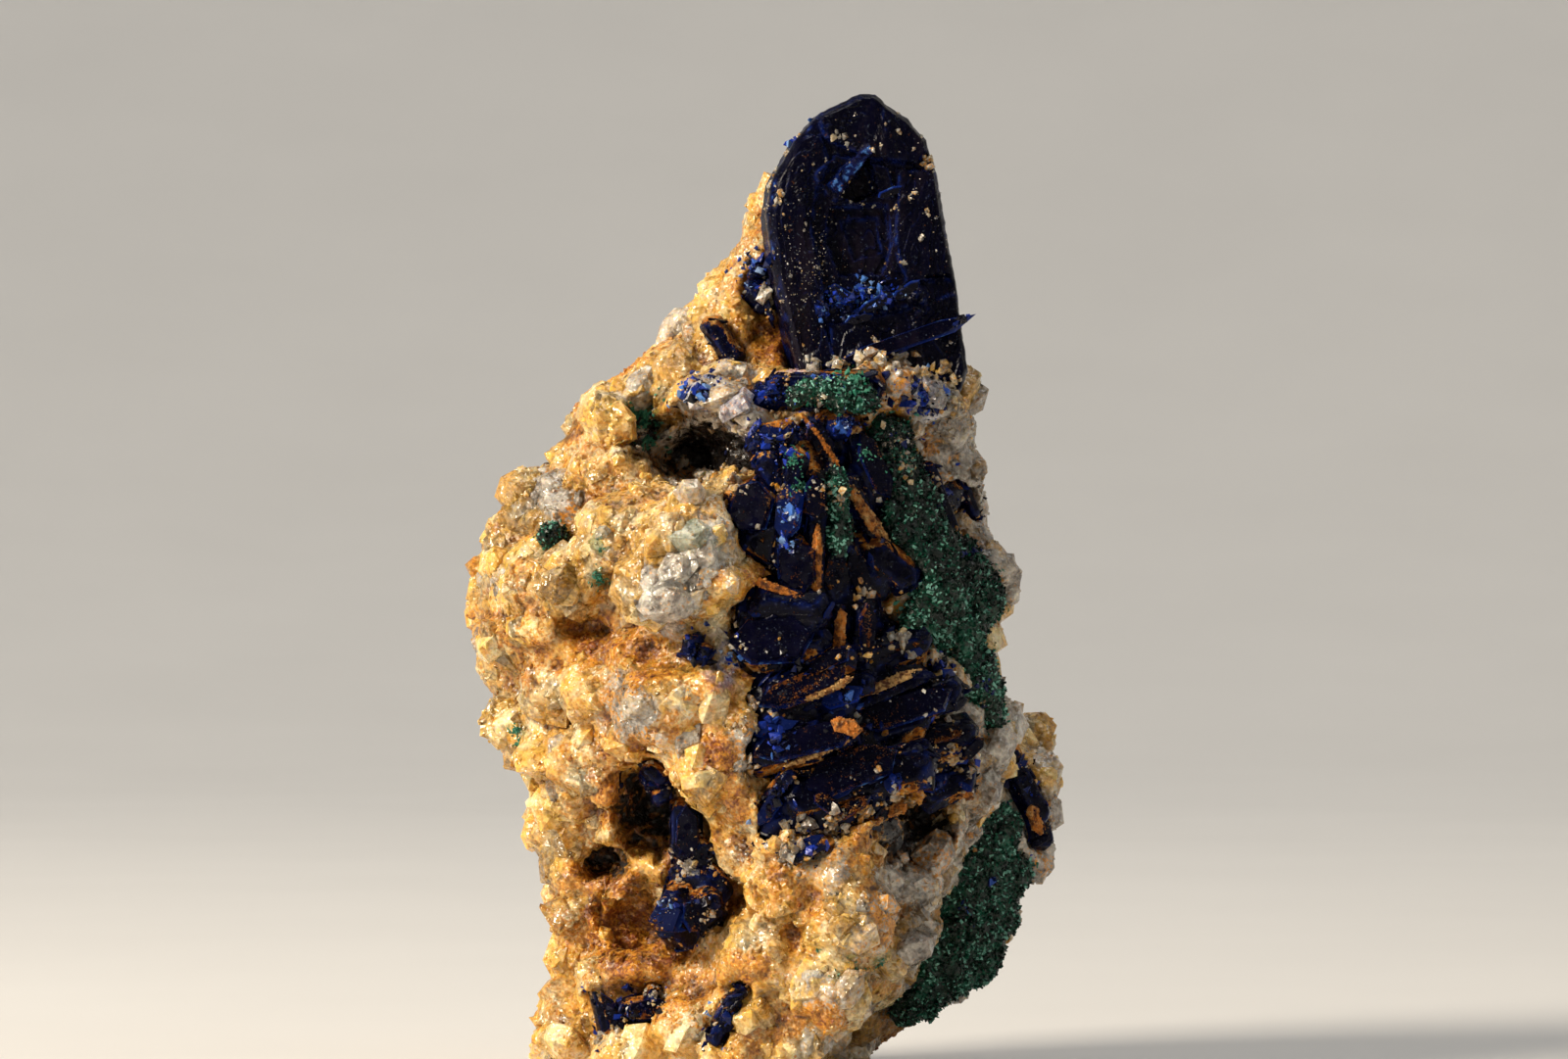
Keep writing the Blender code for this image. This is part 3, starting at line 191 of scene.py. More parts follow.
def stacked(parts):
    """Several sets of corners, triangles and colour values, as one set."""
    values = {label: np.concatenate([part[2][label] for part in parts]) for label in parts[0][2]}
    return *joined(parts), values


def skin_of(obj):
    """Corners in millimetres and triangles of an object that stands in metres."""
    corners, triangles, _ = mesh_arrays(obj.data)
    return corners / MM, triangles


def node_arrays(*names):
    """Corners in millimetres and triangles of CAD nodes, joined."""
    return joined([skin_of(NODES[name]) for name in names])


def new_mesh(name, corners, faces):
    """A mesh from arrays, whose faces all have the same number of corners."""
    mesh = bpy.data.meshes.new(name)
    sides = faces.shape[1]
    mesh.vertices.add(len(corners))
    mesh.vertices.foreach_set("co", corners.astype(np.float32).ravel())
    mesh.loops.add(faces.size)
    mesh.loops.foreach_set("vertex_index", faces.astype(np.int32).ravel())
    mesh.polygons.add(len(faces))
    mesh.polygons.foreach_set("loop_start", np.arange(0, faces.size, sides, dtype=np.int32))
    mesh.update(calc_edges=True)
    return mesh


def piece_of(name, mesh, material, smooth=False, values=None):
    """The finished piece: scaled to metres, coloured, and riding on the specimen."""
    for label, value in (values or {}).items():
        layer = mesh.attributes.new(label, "FLOAT", "POINT")
        layer.data.foreach_set("value", np.clip(value, 0, 1).astype(np.float32))
    mesh.transform(Matrix.Scale(MM, 4))
    mesh.polygons.foreach_set("use_smooth", [smooth] * len(mesh.polygons))
    mesh.materials.clear()
    mesh.materials.append(material)
    obj = bpy.data.objects.new(name, mesh)
    bpy.context.scene.collection.objects.link(obj)
    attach(obj, "root")
    return obj


def crystals_of(name, arrays, material):
    """A finished piece of small flat-faced solids, from their corners, triangles and colour values."""
    corners, triangles, values = arrays
    return piece_of(name, new_mesh(name, corners, triangles), material, values=values)


def tree_of(corners, triangles):
    """A tree of triangles, to find the nearest of them or the one that a line meets."""
    return BVHTree.FromPolygons(corners.tolist(), triangles.tolist())


def soft_noise(points, size, shift=0.0):
    """Smooth noise between about -1 and 1, with lumps of this size."""
    size = np.broadcast_to(size, 3)
    rows = (points / size + shift).tolist()
    return np.fromiter((noise.noise(row) for row in rows), float, len(rows))


def cell_noise(points, size, shift=0.0):
    """Distance to the nearest of many scattered middles, in cells of this size."""
    rows = (points / size + shift).tolist()
    return np.fromiter((noise.voronoi(row)[0][0] for row in rows), float, len(rows))


def smooth_step(low, high, value):
    """0 below low and 1 above high, with an easy curve between. It falls where low is the larger."""
    t = np.clip((value - low) / (high - low), 0, 1)
    return t * t * (3 - 2 * t)


def patches(points, rows):
    """How deep each point lies in any of the round patches, which only reach the front half."""
    inside = np.zeros(len(points))
    for across, height, radius, strength in rows:
        far = ((points[:, 0] - across) ** 2 + (points[:, 2] - height) ** 2) / radius**2
        inside = np.maximum(inside, strength * np.exp(-(far**1.5)))
    return inside * smooth_step(FRONT_DEPTH, 0.0, points[:, 1])


HOLLOW_FRONT = -3.0  # the hollows are at their full depth where the front stands out this far


def hollow_fields(points):
    """How far the rock's front sinks in at each point, and how much painted shade darkens it there.
    The hollows have ragged edges, and fade out where the front turns towards the sides."""
    deep, painted_hollow_shade = np.zeros(len(points)), np.zeros(len(points))
    ragged = 0.60 * soft_noise(points, 1.5, 55.0) + 0.40 * soft_noise(points, 0.6, 57.0)
    for across, height, wide, high, depth, dark in HOLLOWS:
        far = ((points[:, 0] - across) / wide) ** 2 + ((points[:, 2] - height) / high) ** 2 + ragged
        deep = np.maximum(deep, depth * smooth_step(1.15, 0.5, far))
        painted_hollow_shade = np.maximum(painted_hollow_shade, dark * smooth_step(0.95, 0.45, far))
    front = smooth_step(0.0, HOLLOW_FRONT, points[:, 1])
    return deep * front, painted_hollow_shade * front


def concavity(corners, triangles, normals, rounds):
    """0.5 on flat ground, towards 1 in crevices and towards 0 on ridges, spread over the neighbours
    in this many rounds."""
    edges = np.concatenate([triangles[:, [0, 1]], triangles[:, [1, 2]], triangles[:, [2, 0]]])
    count = np.bincount(edges[:, 0], minlength=len(corners)) + 1e-9
    rise = np.einsum("ij,ij->i", corners[edges[:, 1]] - corners[edges[:, 0]], normals[edges[:, 0]])
    bend = np.bincount(edges[:, 0], weights=rise, minlength=len(corners)) / count
    total = np.zeros(len(corners))
    for _ in range(rounds):
        bend = np.bincount(edges[:, 0], weights=bend[edges[:, 1]], minlength=len(corners)) / count
        total += bend
    return np.clip(0.5 + total / (5 * total.std() + 1e-9), 0, 1)


# The pale cap of the ledge on the far right, which no stain reaches: from and to across, and up.
CAP_ACROSS, CAP_UP = (19.5, 21.5), (20.0, 22.0)


def colour_fields(points, crevice, lump, seam, painted_hollow_shade):
    """The rock's stain, colourlessness, painted shade of the hollows and dusts of blue and green at each
    point; the colourlessness also holds painted shade on the right. lump is a chance value for the grain that
    the point lies on, and seam is 1 between two grains."""
    cloud = soft_noise(points, 3.4, 7.0)
    fine = soft_noise(points, 1.1, 21.0)
    back = smooth_step(0.0, FRONT_DEPTH, points[:, 1])
    stain = 1.15 * patches(points, STAINED) * (0.8 + 0.6 * fine)
    seams = 0.85 * seam * smooth_step(-0.25, 0.3, cloud + 0.5 * fine)
    crevices = 0.9 * smooth_step(0.55, 0.92, crevice)
    between = 0.24 + 0.5 * cloud + 0.3 * fine + 0.2 * soft_noise(points, 7.0, 48.0)
    stain = np.maximum.reduce([stain, seams, crevices, between]) + 0.12 * cloud
    pale_cap = smooth_step(*CAP_ACROSS, points[:, 0]) * smooth_step(*CAP_UP, points[:, 2])
    stain = np.maximum(stain, back * (0.35 + 0.9 * cloud + 0.3 * (lump - 0.5))) * (1 - pale_cap)
    # Towards the right the quartz is less stained and greyer: partly colourless quartz, partly painted shade
    # of the side turned from the light.
    stain = stain - 0.25 * smooth_step(12.0, 17.0, points[:, 0]) - patches(points, CLEAN)
    right = 0.75 * smooth_step(2, 18, points[:, 0]) * (1 - 0.7 * pale_cap)
    grey = np.maximum(1.4 * patches(points, COLOURLESS), right) + 0.8 * (lump - 0.5)
    grey = grey + 0.25 * soft_noise(points, 2.2, 40.0) + 0.30 * soft_noise(points, 6.0, 44.0)
    blue = patches(points, BLUE_DUST) * smooth_step(-0.25, 0.35, soft_noise(points, 0.7, 60.0))
    green = patches(points, GREEN_DUST) * smooth_step(-0.35, 0.25, soft_noise(points, 0.6, 80.0))
    grains = soft_noise(points, 0.55, 66.0) + 0.5 * soft_noise(points, 0.28, 68.0)
    # painted shade: the hollows are darkened towards near-black, broken up by grains
    dark = painted_hollow_shade * smooth_step(-0.15, 0.25, grains + 1.6 * (painted_hollow_shade - 0.45))
    return {"stain": stain, "grey": grey, "blue": blue, "green": green, "dark": dark}


# ------------------------------------------------------------------ small solids, many at a time
def hull_arrays(points):
    """Corners and triangles of the convex solid round these points."""
    solid = bmesh.new()
    for point in points:
        solid.verts.new(point)
    made = bmesh.ops.convex_hull(solid, input=solid.verts[:])
    loose = {v for v in made["geom_interior"] + made["geom_unused"] if isinstance(v, bmesh.types.BMVert)}
    bmesh.ops.delete(solid, geom=list(loose), context="VERTS")
    bmesh.ops.recalc_face_normals(solid, faces=solid.faces[:])
    bmesh.ops.triangulate(solid, faces=solid.faces[:])
    solid.verts.index_update()
    corners = np.array([v.co[:] for v in solid.verts])
    triangles = np.array([[v.index for v in face.verts] for face in solid.faces])
    solid.free()
    return corners, triangles


def pebble(seed, count, jitter, flatten=1.0):
    """A rough convex solid about one across in radius."""
    rng = random.Random(seed)
    spin = Matrix.Rotation(rng.uniform(0, 6), 3, "Z") @ Matrix.Rotation(rng.uniform(0, 3), 3, "X")
    points = []
    for i in range(count):
        height = 1 - 2 * (i + 0.5) / count
        ring = math.sqrt(1 - height * height)
        way = Vector((ring * math.cos(i * GOLDEN_ANGLE), ring * math.sin(i * GOLDEN_ANGLE), height))
        way = spin @ way * (1 + rng.uniform(-jitter, jitter))
        points.append((way.x, way.y, way.z * flatten))
    return hull_arrays(points)


def pebbles(seeds, count, jitter, flatten=1.0):
    """One pebble for each seed."""
    return [pebble(seed, count, jitter, flatten) for seed in seeds]


def quartz_point(seed):
    """A short six-sided quartz crystal that stands on Z."""
    rng = random.Random(seed)
    points = []
    for i in range(6):
        angle = math.tau * i / 6
        wide = 0.52 * rng.uniform(0.85, 1.15)
        shoulder = rng.uniform(0.15, 0.5)
        points.append((wide * math.cos(angle), wide * math.sin(angle), -0.6))
        points.append((wide * math.cos(angle), wide * math.sin(angle), shoulder))
    points.append((rng.uniform(-0.12, 0.12), rng.uniform(-0.12, 0.12), 0.95))
    return hull_arrays(points)


PLATE_OUTLINE = [(-1.0, 0.0), (-0.6, 0.5), (0.5, 0.5), (1.0, 0.1), (0.65, -0.5), (-0.55, -0.5)]
PLATE_HALF = 0.16  # half of a plate's thickness
PLATE_FACE = (0.84, 0.74)  # the share of its length and width that a plate's faces have
BROAD_FACE = (0.94, 0.82)  # the same for a plate with a narrower bevel


def azurite_plate(seed, face=PLATE_FACE):
    """A bevelled plate, two long along X, one wide along Y and thin along Z."""
    rng = random.Random(seed)
    points = []
    for across, up in PLATE_OUTLINE:
        across, up = across * rng.uniform(0.85, 1.1), up * rng.uniform(0.8, 1.15)
        points.append((across, up, 0.0))
        points += [(across * face[0], up * face[1], height) for height in (PLATE_HALF, -PLATE_HALF)]
    return hull_arrays(points)


def needle(seed):
    """A three-sided malachite crystal with a slanting top, that stands on Z."""
    rng = random.Random(seed)
    points = []
    for i in range(3):
        angle = math.tau * i / 3
        wide = 0.5 * rng.uniform(0.7, 1.2)
        points.append((wide * math.cos(angle), wide * math.sin(angle), -0.7))
        points.append((0.8 * wide * math.cos(angle), 0.8 * wide * math.sin(angle), rng.uniform(0.3, 1.1)))
    return hull_arrays(points)


def any_turns(count, rng):
    """Random rotations."""
    q = rng.normal(size=(count, 4))
    w, x, y, z = (q / np.linalg.norm(q, axis=1)[:, None]).T
    rows = [
        [1 - 2 * (y * y + z * z), 2 * (x * y - z * w), 2 * (x * z + y * w)],
        [2 * (x * y + z * w), 1 - 2 * (x * x + z * z), 2 * (y * z - x * w)],
        [2 * (x * z - y * w), 2 * (y * z + x * w), 1 - 2 * (x * x + y * y)],
    ]
    return np.transpose(np.array(rows), (2, 0, 1))


def standing_turns(normals, rng, lean, along=None):
    """Rotations that stand a crystal's Z on the surface, each leaning by chance. With along, its X
    lies near that direction."""
    up = normals + lean * rng.normal(size=normals.shape)
    up /= np.linalg.norm(up, axis=1)[:, None]
    way = rng.normal(size=normals.shape) if along is None else along + 0.25 * rng.normal(size=normals.shape)
    side = way - up * np.einsum("ij,ij->i", way, up)[:, None]
    side /= np.linalg.norm(side, axis=1)[:, None] + 1e-9
    return np.stack([side, np.cross(up, side), up], axis=2)


def many(templates, places, turns, sizes, values):
    """Copies of the templates, shared out among the places, as one set of arrays."""
    corners, triangles, count = [], [], 0
    spread = {label: [] for label in values}
    for i, (shape, faces) in enumerate(templates):
        pick = slice(i, None, len(templates))
        size = sizes[pick]
        size = size[:, None, None] if size.ndim == 1 else size[:, None, :]
        own = np.einsum("nij,nkj->nki", turns[pick], shape[None] * size) + places[pick][:, None]
        number = len(own)
        shift = count + np.arange(number)[:, None, None] * len(shape)
        corners.append(own.reshape(-1, 3))
        triangles.append((faces[None] + shift).reshape(-1, 3))
        count += number * len(shape)
        for label, value in values.items():
            spread[label].append(np.repeat(value[pick], len(shape)))
    joined = {label: np.concatenate(parts) for label, parts in spread.items()}
    return np.concatenate(corners), np.concatenate(triangles), joined


def spots_on(corners, triangles, count, rng, weight=None):
    """Random spots on a surface: place, normal and the triangle that each lies in. The weight says how
    thickly each triangle is covered."""
    a, b, c = (corners[triangles[:, k]] for k in range(3))
    cross = np.cross(b - a, c - a)
    area = np.linalg.norm(cross, axis=1)
    chance = area if weight is None else area * weight
    picked = rng.choice(len(triangles), size=count, p=chance / chance.sum())
    shares = rng.dirichlet((1.0, 1.0, 1.0), size=count)
    place = np.einsum("nk,nkj->nj", shares, corners[triangles[picked]])
    normal = cross[picked] / (area[picked][:, None] + 1e-12)
    return place, normal, picked


def remeshed(name, corners, triangles, voxel):
    """The arrays grown together into one skin of small squares."""
    obj = bpy.data.objects.new(name, new_mesh(name, corners, triangles))
    bpy.context.scene.collection.objects.link(obj)
    grow = obj.modifiers.new("grow together", "REMESH")
    grow.mode = "VOXEL"
    grow.voxel_size = voxel
    graph = bpy.context.evaluated_depsgraph_get()
    mesh = bpy.data.meshes.new_from_object(obj.evaluated_get(graph))
    bpy.data.objects.remove(obj)
    return mesh


def moved(mesh, offsets):
    """Moves a mesh's corners by these offsets, and gives their new places."""
    corners = mesh_arrays(mesh)[0] + offsets
    mesh.vertices.foreach_set("co", corners.astype(np.float32).ravel())
    mesh.update()
    return corners


# ------------------------------------------------------------------ materials
class Recipe:
    """A material's nodes, made one call at a time. Sockets go in where values do."""

    def __init__(self, name):
        self.material = bpy.data.materials.new(name)
        self.material.use_nodes = True
        self.tree = self.material.node_tree
        self.shader = self.tree.nodes["Principled BSDF"]
        spot = self.add("ShaderNodeTexCoord").outputs["Object"]
        self.spot = self.vector("SCALE", {0: spot, "Scale": 1 / MM})

    def add(self, kind, inputs=None, **settings):
        """A new node with these inputs and settings."""
        node = self.tree.nodes.new(kind)
        for key, value in settings.items():
            setattr(node, key, value)
        self.feed(node, inputs or {})
        return node

    def feed(self, node, inputs):
        """Links each socket to its input, and sets the inputs that are given as values."""
        for key, value in inputs.items():
            if isinstance(value, bpy.types.NodeSocket):
                self.tree.links.new(value, node.inputs[key])
            else:
                node.inputs[key].default_value = value

    def vector(self, operation, inputs):
        """One sum of vectors."""
        return self.add("ShaderNodeVectorMath", inputs, operation=operation).outputs[0]

    def attribute(self, name):
        """A colour value that the piece holds at its corners."""
        return self.add("ShaderNodeAttribute", attribute_name=name).outputs["Fac"]

    def cloud(self, size, detail=4.0, roughness=0.6, spot=None):
        """Noise from 0 to 1 with lumps of this size in millimetres."""
        inputs = {"Vector": spot or self.spot, "Scale": 1 / size, "Detail": detail, "Roughness": roughness}
        return self.add("ShaderNodeTexNoise", inputs).outputs["Fac"]

    def stretched(self, factors):
        """The place in millimetres, with each direction scaled."""
        return self.vector("MULTIPLY", {0: self.spot, 1: factors})

    def cells(self, size):
        """A chance colour for each cell of about this size in millimetres."""
        return self.add("ShaderNodeTexVoronoi", {"Vector": self.spot, "Scale": 1 / size}).outputs["Color"]

    def math(self, operation, a, b=0.0, clamp=False):
        """One sum of two values."""
        node = self.add("ShaderNodeMath", {0: a, 1: b}, operation=operation)
        node.use_clamp = clamp
        return node.outputs[0]

    def span(self, value, low, high, to_low=0.0, to_high=1.0):
        """The value, stretched from one range to another."""
        inputs = {"Value": value, "From Min": low, "From Max": high, "To Min": to_low, "To Max": to_high}
        return self.add("ShaderNodeMapRange", inputs).outputs["Result"]

    def ragged(self, value, chance, amount, low=0.3, high=0.7):
        """The value, made larger and smaller by a chance value that mostly lies between low and high."""
        return self.math("ADD", value, self.span(chance, low, high, -amount, amount))

    def mix(self, share, first, second, blend="MIX"):
        """Two colours in shares."""
        node = self.add("ShaderNodeMix", data_type="RGBA", blend_type=blend)
        self.feed(node, {"Factor": share})
        for socket, value in ((node.inputs[6], first), (node.inputs[7], second)):
            if isinstance(value, bpy.types.NodeSocket):
                self.tree.links.new(value, socket)
            else:
                socket.default_value = (*value, 1.0)
        return node.outputs[2]

    def tint(self, body, value, low, high, colour, most=1.0):
        """The colour laid over the body, from nothing where the value is low to the most where it is high."""
        return self.mix(self.span(value, low, high, 0.0, most), body, colour)

    def bump(self, height, depth, strength=1.0, under=None):
        """A normal for relief of this depth in millimetres, over the relief under it."""
        inputs = {"Height": height, "Distance": depth * MM, "Strength": strength}
        if under is not None:
            inputs["Normal"] = under
        return self.add("ShaderNodeBump", inputs).outputs["Normal"]

    def faceted(self, size, amount, under=None):
        """A normal that is turned a little in each cell, as the faces of small crystals are."""
        half = self.vector("SUBTRACT", {0: self.cells(size), 1: (0.5, 0.5, 0.5)})
        turn = self.vector("SCALE", {0: half, "Scale": amount})
        base = under or self.add("ShaderNodeNewGeometry").outputs["Normal"]
        return self.vector("NORMALIZE", {0: self.vector("ADD", {0: base, 1: turn})})

    def finish(self, **inputs):
        """The finished material, with these inputs on its shader."""
        self.feed(self.shader, {key.replace("_", " "): value for key, value in inputs.items()})
        return self.material


QUARTZ_IOR = 1.54


def quartz_material(settings):
    """Cream quartz, colourless in places, stained by limonite and dusted with blue and green, with painted
    shade in its crevices, seams and hollows.
    """
    r = Recipe("quartz and limonite")
    tone, dark, stain, grey, blue, green = (
        r.attribute(name) for name in ("tone", "dark", "stain", "grey", "blue", "green")
    )
    fine, speck = r.cloud(0.45), r.cloud(0.17, 3.0)
    cream = r.tint(settings.cream, r.cloud(2.2), 0.32, 0.54, settings.cream_deep)
    clear = r.tint(settings.clear, r.cloud(1.3), 0.36, 0.64, settings.clear_deep)
    body = r.tint(cream, r.ragged(grey, fine, 0.25), 0.3, 0.7, clear)
    stained = r.ragged(stain, r.cloud(0.9), 0.22)
    stained = r.ragged(stained, r.cloud(0.26, 3.0), 0.32, 0.35, 0.65)
    body = r.tint(body, stained, 0.22, 0.55, settings.honey)
    body = r.tint(body, stained, 0.62, 1.05, settings.rust)
    body = r.tint(body, blue, 0.1, 0.9, settings.blue_dust, most=0.85)
    body = r.tint(body, green, 0.15, 0.8, settings.green_dust, most=0.95)
    # painted shade: the dark hollows turn near-black
    body = r.tint(body, r.ragged(dark, fine, 0.35), 0.38, 0.62, settings.painted_hollow_shade_colour)
    # each grain is a little darker or lighter than the next, and the tone holds painted shade in the crevices
    # and seams
    shade = r.ragged(r.ragged(tone, fine, 0.22), r.cells(0.30), 0.28, 0.0, 1.0)
    shade = r.span(shade, 0.0, 1.0, 0.26, 1.20)
    shade = r.add("ShaderNodeCombineColor", {0: shade, 1: shade, 2: shade}).outputs[0]
    body = r.mix(1.0, body, shade, "MULTIPLY")
    grit = r.bump(speck, 0.04, 0.5, r.bump(r.cloud(0.6, 3.0), 0.10, 0.4))
    return r.finish(
        Base_Color=body,
        Roughness=r.span(r.math("ADD", stained, r.cells(0.45)), 0.2, 1.4, 0.05, 0.55),
        Normal=r.faceted(0.16, 0.55, r.faceted(0.40, 0.70, r.faceted(1.0, 0.45, grit))),
        IOR=QUARTZ_IOR,
        Specular_IOR_Level=0.75,
        Subsurface_Weight=0.32,
        Subsurface_Radius=(1.0, 0.6, 0.28),
        Subsurface_Scale=1.2 * MM,
    )


# How azurite's growth lines and streaks are stretched: across, out and up.
LYING_LINES = (0.35, 1.0, 1.7)
STANDING_LINES = (1.7, 1.0, 0.35)
STANDING_STREAKS = (1.0, 1.0, 0.22)
GROWTH_STEPS = 14.0


def azurite_material(name, settings, crusts, gloss, sparkle, plum=None):
    """Near-black blue, brighter along its edges with painted highlight and painted glow of light, with iron
    crust where the crust value says so. The gloss is its least roughness and sparkle turns its small facets.
    Some growth zones may lean to plum."""
    r = Recipe(name)
    rim, tone, crust, upright = (r.attribute(key) for key in ("rim", "tone", "crust", "upright"))
    deep = tuple(settings.deep)
    # painted highlight and glow along the edges, broken up by noise
    painted_edge_light = r.math("MULTIPLY", rim, r.span(r.cloud(0.7), 0.42, 0.62), clamp=True)
    body = r.tint(deep, r.cloud(1.4), 0.45, 0.75, tuple(2.0 * c for c in deep))
    if plum is not None:
        body = r.tint(body, r.cloud(2.6, 2.0, spot=r.stretched(STANDING_STREAKS)), 0.54, 0.64, plum)
    # painted light: the tone lightens faces towards edge blue and bright blue, as painted reflection and glow
    body = r.tint(body, tone, 0.30, 0.75, settings.edge)
    body = r.tint(body, tone, 0.72, 1.0, settings.bright)
    body = r.tint(body, painted_edge_light, 0.0, 1.0, settings.edge, most=0.8)
    body = r.tint(body, painted_edge_light, 0.60, 1.0, settings.painted_glint_blue, most=0.75)
    speck = r.span(r.cloud(0.22, 3.0), 0.63, 0.72)
    body = r.mix(r.math("MULTIPLY", speck, 0.12), body, settings.pale)
    mask = r.ragged(r.ragged(crust, r.cloud(0.5), 0.4), r.cloud(0.15, 3.0), 0.35)
    mask = r.span(mask, 0.42, 0.58)
    iron = r.tint(crusts.limonite, r.cloud(0.25, 3.0), 0.44, 0.58, crusts.ochre)
    iron = r.tint(iron, r.cloud(0.5, 3.0), 0.44, 0.58, crusts.rust)
    body = r.mix(mask, body, iron)
    lying = r.cloud(1.0, 2.0, 0.5, spot=r.stretched(LYING_LINES))
    standing = r.cloud(1.0, 2.0, 0.5, spot=r.stretched(STANDING_LINES))
    steps = r.math("FLOOR", r.math("MULTIPLY", r.span(upright, 0.0, 1.0, lying, standing), GROWTH_STEPS))
    grit = r.bump(r.cloud(0.14, 3.0), 0.03, 0.5, r.bump(steps, 0.018, 0.6))
    grit = r.bump(r.math("MULTIPLY", mask, r.cloud(0.2)), 0.16, 1.0, grit)
    blade_rough = r.span(r.cloud(0.5), 0.3, 0.7, gloss, gloss + 0.20)
    return r.finish(
        Base_Color=body,
        Roughness=r.math("MAXIMUM", blade_rough, r.math("MULTIPLY", mask, 0.85)),
        Normal=r.faceted(0.5, sparkle, grit),
        Specular_IOR_Level=0.10,
    )


def druse_material(settings):
    """Tiny azurite crystals, from deep blue through bright blue, their highest tones steel blue and pale as
    painted glints.
    """
    r = Recipe("azurite druse")
    tone = r.attribute("tone")
    body = r.tint(settings.deep, tone, 0.15, 0.60, settings.edge)
    body = r.tint(body, tone, 0.50, 0.74, settings.bright)
    # painted glints: the highest tones turn steel blue and pale
    body = r.tint(body, tone, 0.70, 0.86, settings.painted_glint_blue)
    body = r.tint(body, tone, 0.84, 1.0, settings.pale)
    normal = r.faceted(0.3, 0.3, r.bump(r.cloud(0.15, 2.0), 0.03, 0.5))
    rough = r.span(r.cloud(0.3), 0.3, 0.7, 0.10, 0.35)
    return r.finish(Base_Color=body, Roughness=rough, Normal=normal, Specular_IOR_Level=0.3)


def malachite_material(settings):
    """Dark green crust of tiny crystals that glint teal."""
    r = Recipe("malachite")
    tone = r.attribute("tone")
    mottle = r.ragged(r.cloud(1.5), r.cloud(0.3, 3.0), 0.12)
    body = r.tint(settings.green, mottle, 0.48, 0.74, settings.teal)
    body = r.tint(body, tone, 0.52, 0.76, settings.teal)
    # painted glints: the palest crystals turn glint colour
    body = r.tint(body, tone, 0.74, 0.96, settings.glint)
    body = r.tint(body, tone, 0.36, 0.05, settings.shadow)
    normal = r.faceted(0.22, 0.9, r.bump(r.cloud(0.15, 3.0), 0.05, 0.8))
    rough = r.span(r.cloud(0.4), 0.3, 0.7, 0.10, 0.40)
    return r.finish(Base_Color=body, Roughness=rough, Normal=normal, Specular_IOR_Level=0.35)


def limonite_material(settings):
    """Ochre and orange crust, dull and crumbly."""
    r = Recipe("limonite")
    mottle = r.ragged(r.attribute("tone"), r.cloud(0.5), 0.35)
    body = r.tint(settings.limonite, mottle, 0.25, 0.75, settings.ochre)
    body = r.tint(body, r.cloud(0.45), 0.46, 0.60, settings.rust)
    grit = r.bump(r.cloud(0.18), 0.10, 1.0)
    return r.finish(Base_Color=body, Roughness=0.82, Normal=grit, Subsurface_Weight=0.05)


# ------------------------------------------------------------------ settings
def colour(name, description, value):
    """A setting that holds a colour."""
    return FloatVectorProperty(
        name=name, description=description, default=value, subtype="COLOR", size=3, min=0.0, max=1.0
    )


def length(name, description, value):
    """A setting that holds a length, given in millimetres."""
    return FloatProperty(name=name, description=description, default=value * MM, unit="LENGTH")


def number(name, description, value):
    """A setting that holds a number of crystals or crumbs."""
    return IntProperty(name=name, description=description, default=value, min=1)


def power(name, description, value):
    """A setting that holds a light's power in watts."""
    return FloatProperty(name=name, description=description, default=value, unit="POWER")


class AzuriteRockSettings(bpy.types.PropertyGroup):
    """The rock's skin, its numbers of grains and its colours"""

    skin: length("Skin", "Size of the squares of the rock's skin", 0.45)
    blocks: number("Blocks", "Large quartz crystals that stand out of the rock", 1800)
    big_grains: number("Big grains", "Quartz grains that grow together with the rock", 1000)
    middle_grains: number("Middle grains", "Single quartz crystals on the rock", 5400)
    fine_grains: number("Fine grains", "Sugary quartz grains on the rock", 9800)
    crumbs: number("Limonite crumbs", "Crumbs in the stained hollows", 8400)
    cream: colour("Cream", "Colour of the quartz", (0.92, 0.77, 0.47))
    cream_deep: colour("Deep cream", "Colour of the quartz where it is thick", (0.82, 0.46, 0.10))
    clear: colour("Colourless", "Colour of the clear quartz", (0.70, 0.64, 0.55))
    clear_deep: colour("Deep colourless", "Colour of the clear quartz in its depth", (0.20, 0.168, 0.14))
    honey: colour("Honey", "Colour of a light stain", (0.66, 0.27, 0.016))
    rust: colour("Rust", "Colour of a heavy stain", (0.24, 0.060, 0.006))
    # Painted shade: the near-black that stands for the shade in the dark hollows.
    painted_hollow_shade_colour: colour("Cavity", "Colour of the lining of the dark hollows", (0.010, 0.007, 0.006))
    blue_dust: colour("Blue dust", "Azurite dust on the quartz", (0.16, 0.26, 0.60))
    green_dust: colour("Green dust", "Malachite dust on the quartz", (0.02, 0.16, 0.05))


class AzuriteCrystalSettings(bpy.types.PropertyGroup):
    """The azurite's edges, its small blades and crumbs, and its blues"""

    bevel: length("Bevel", "Width of the bevel on a blade's edges", 0.10)
    facet: length("Facet", "Longest edge on a blade's faces", 0.53)
    plates: number("Small plates", "Small blades that grow on the big ones", 1500)
    crumbs: number("Crumbs", "Ochre and cream crumbs between the blades", 1400)
    specks: number("Specks", "Tiny pale grains on the great blade", 420)
    deep: colour("Deep blue", "Colour of a blade's faces", (0.0009, 0.0009, 0.0062))
    # Painted light: edge blue is a painted glow of light through thin edges, steel blue a painted glint.
    edge: colour("Edge blue", "Colour where light passes through an edge", (0.006, 0.020, 0.15))
    painted_glint_blue: colour("Steel blue", "Colour of the sharpest edges", (0.08, 0.22, 0.55))
    bright: colour("Bright blue", "Colour of the tiny crystals", (0.010, 0.038, 0.42))
    pale: colour("Pale blue", "Colour of the palest tiny crystals", (0.40, 0.52, 0.74))
    plum: colour("Plum", "Colour of the darkest growth zones", (0.0065, 0.0045, 0.011))


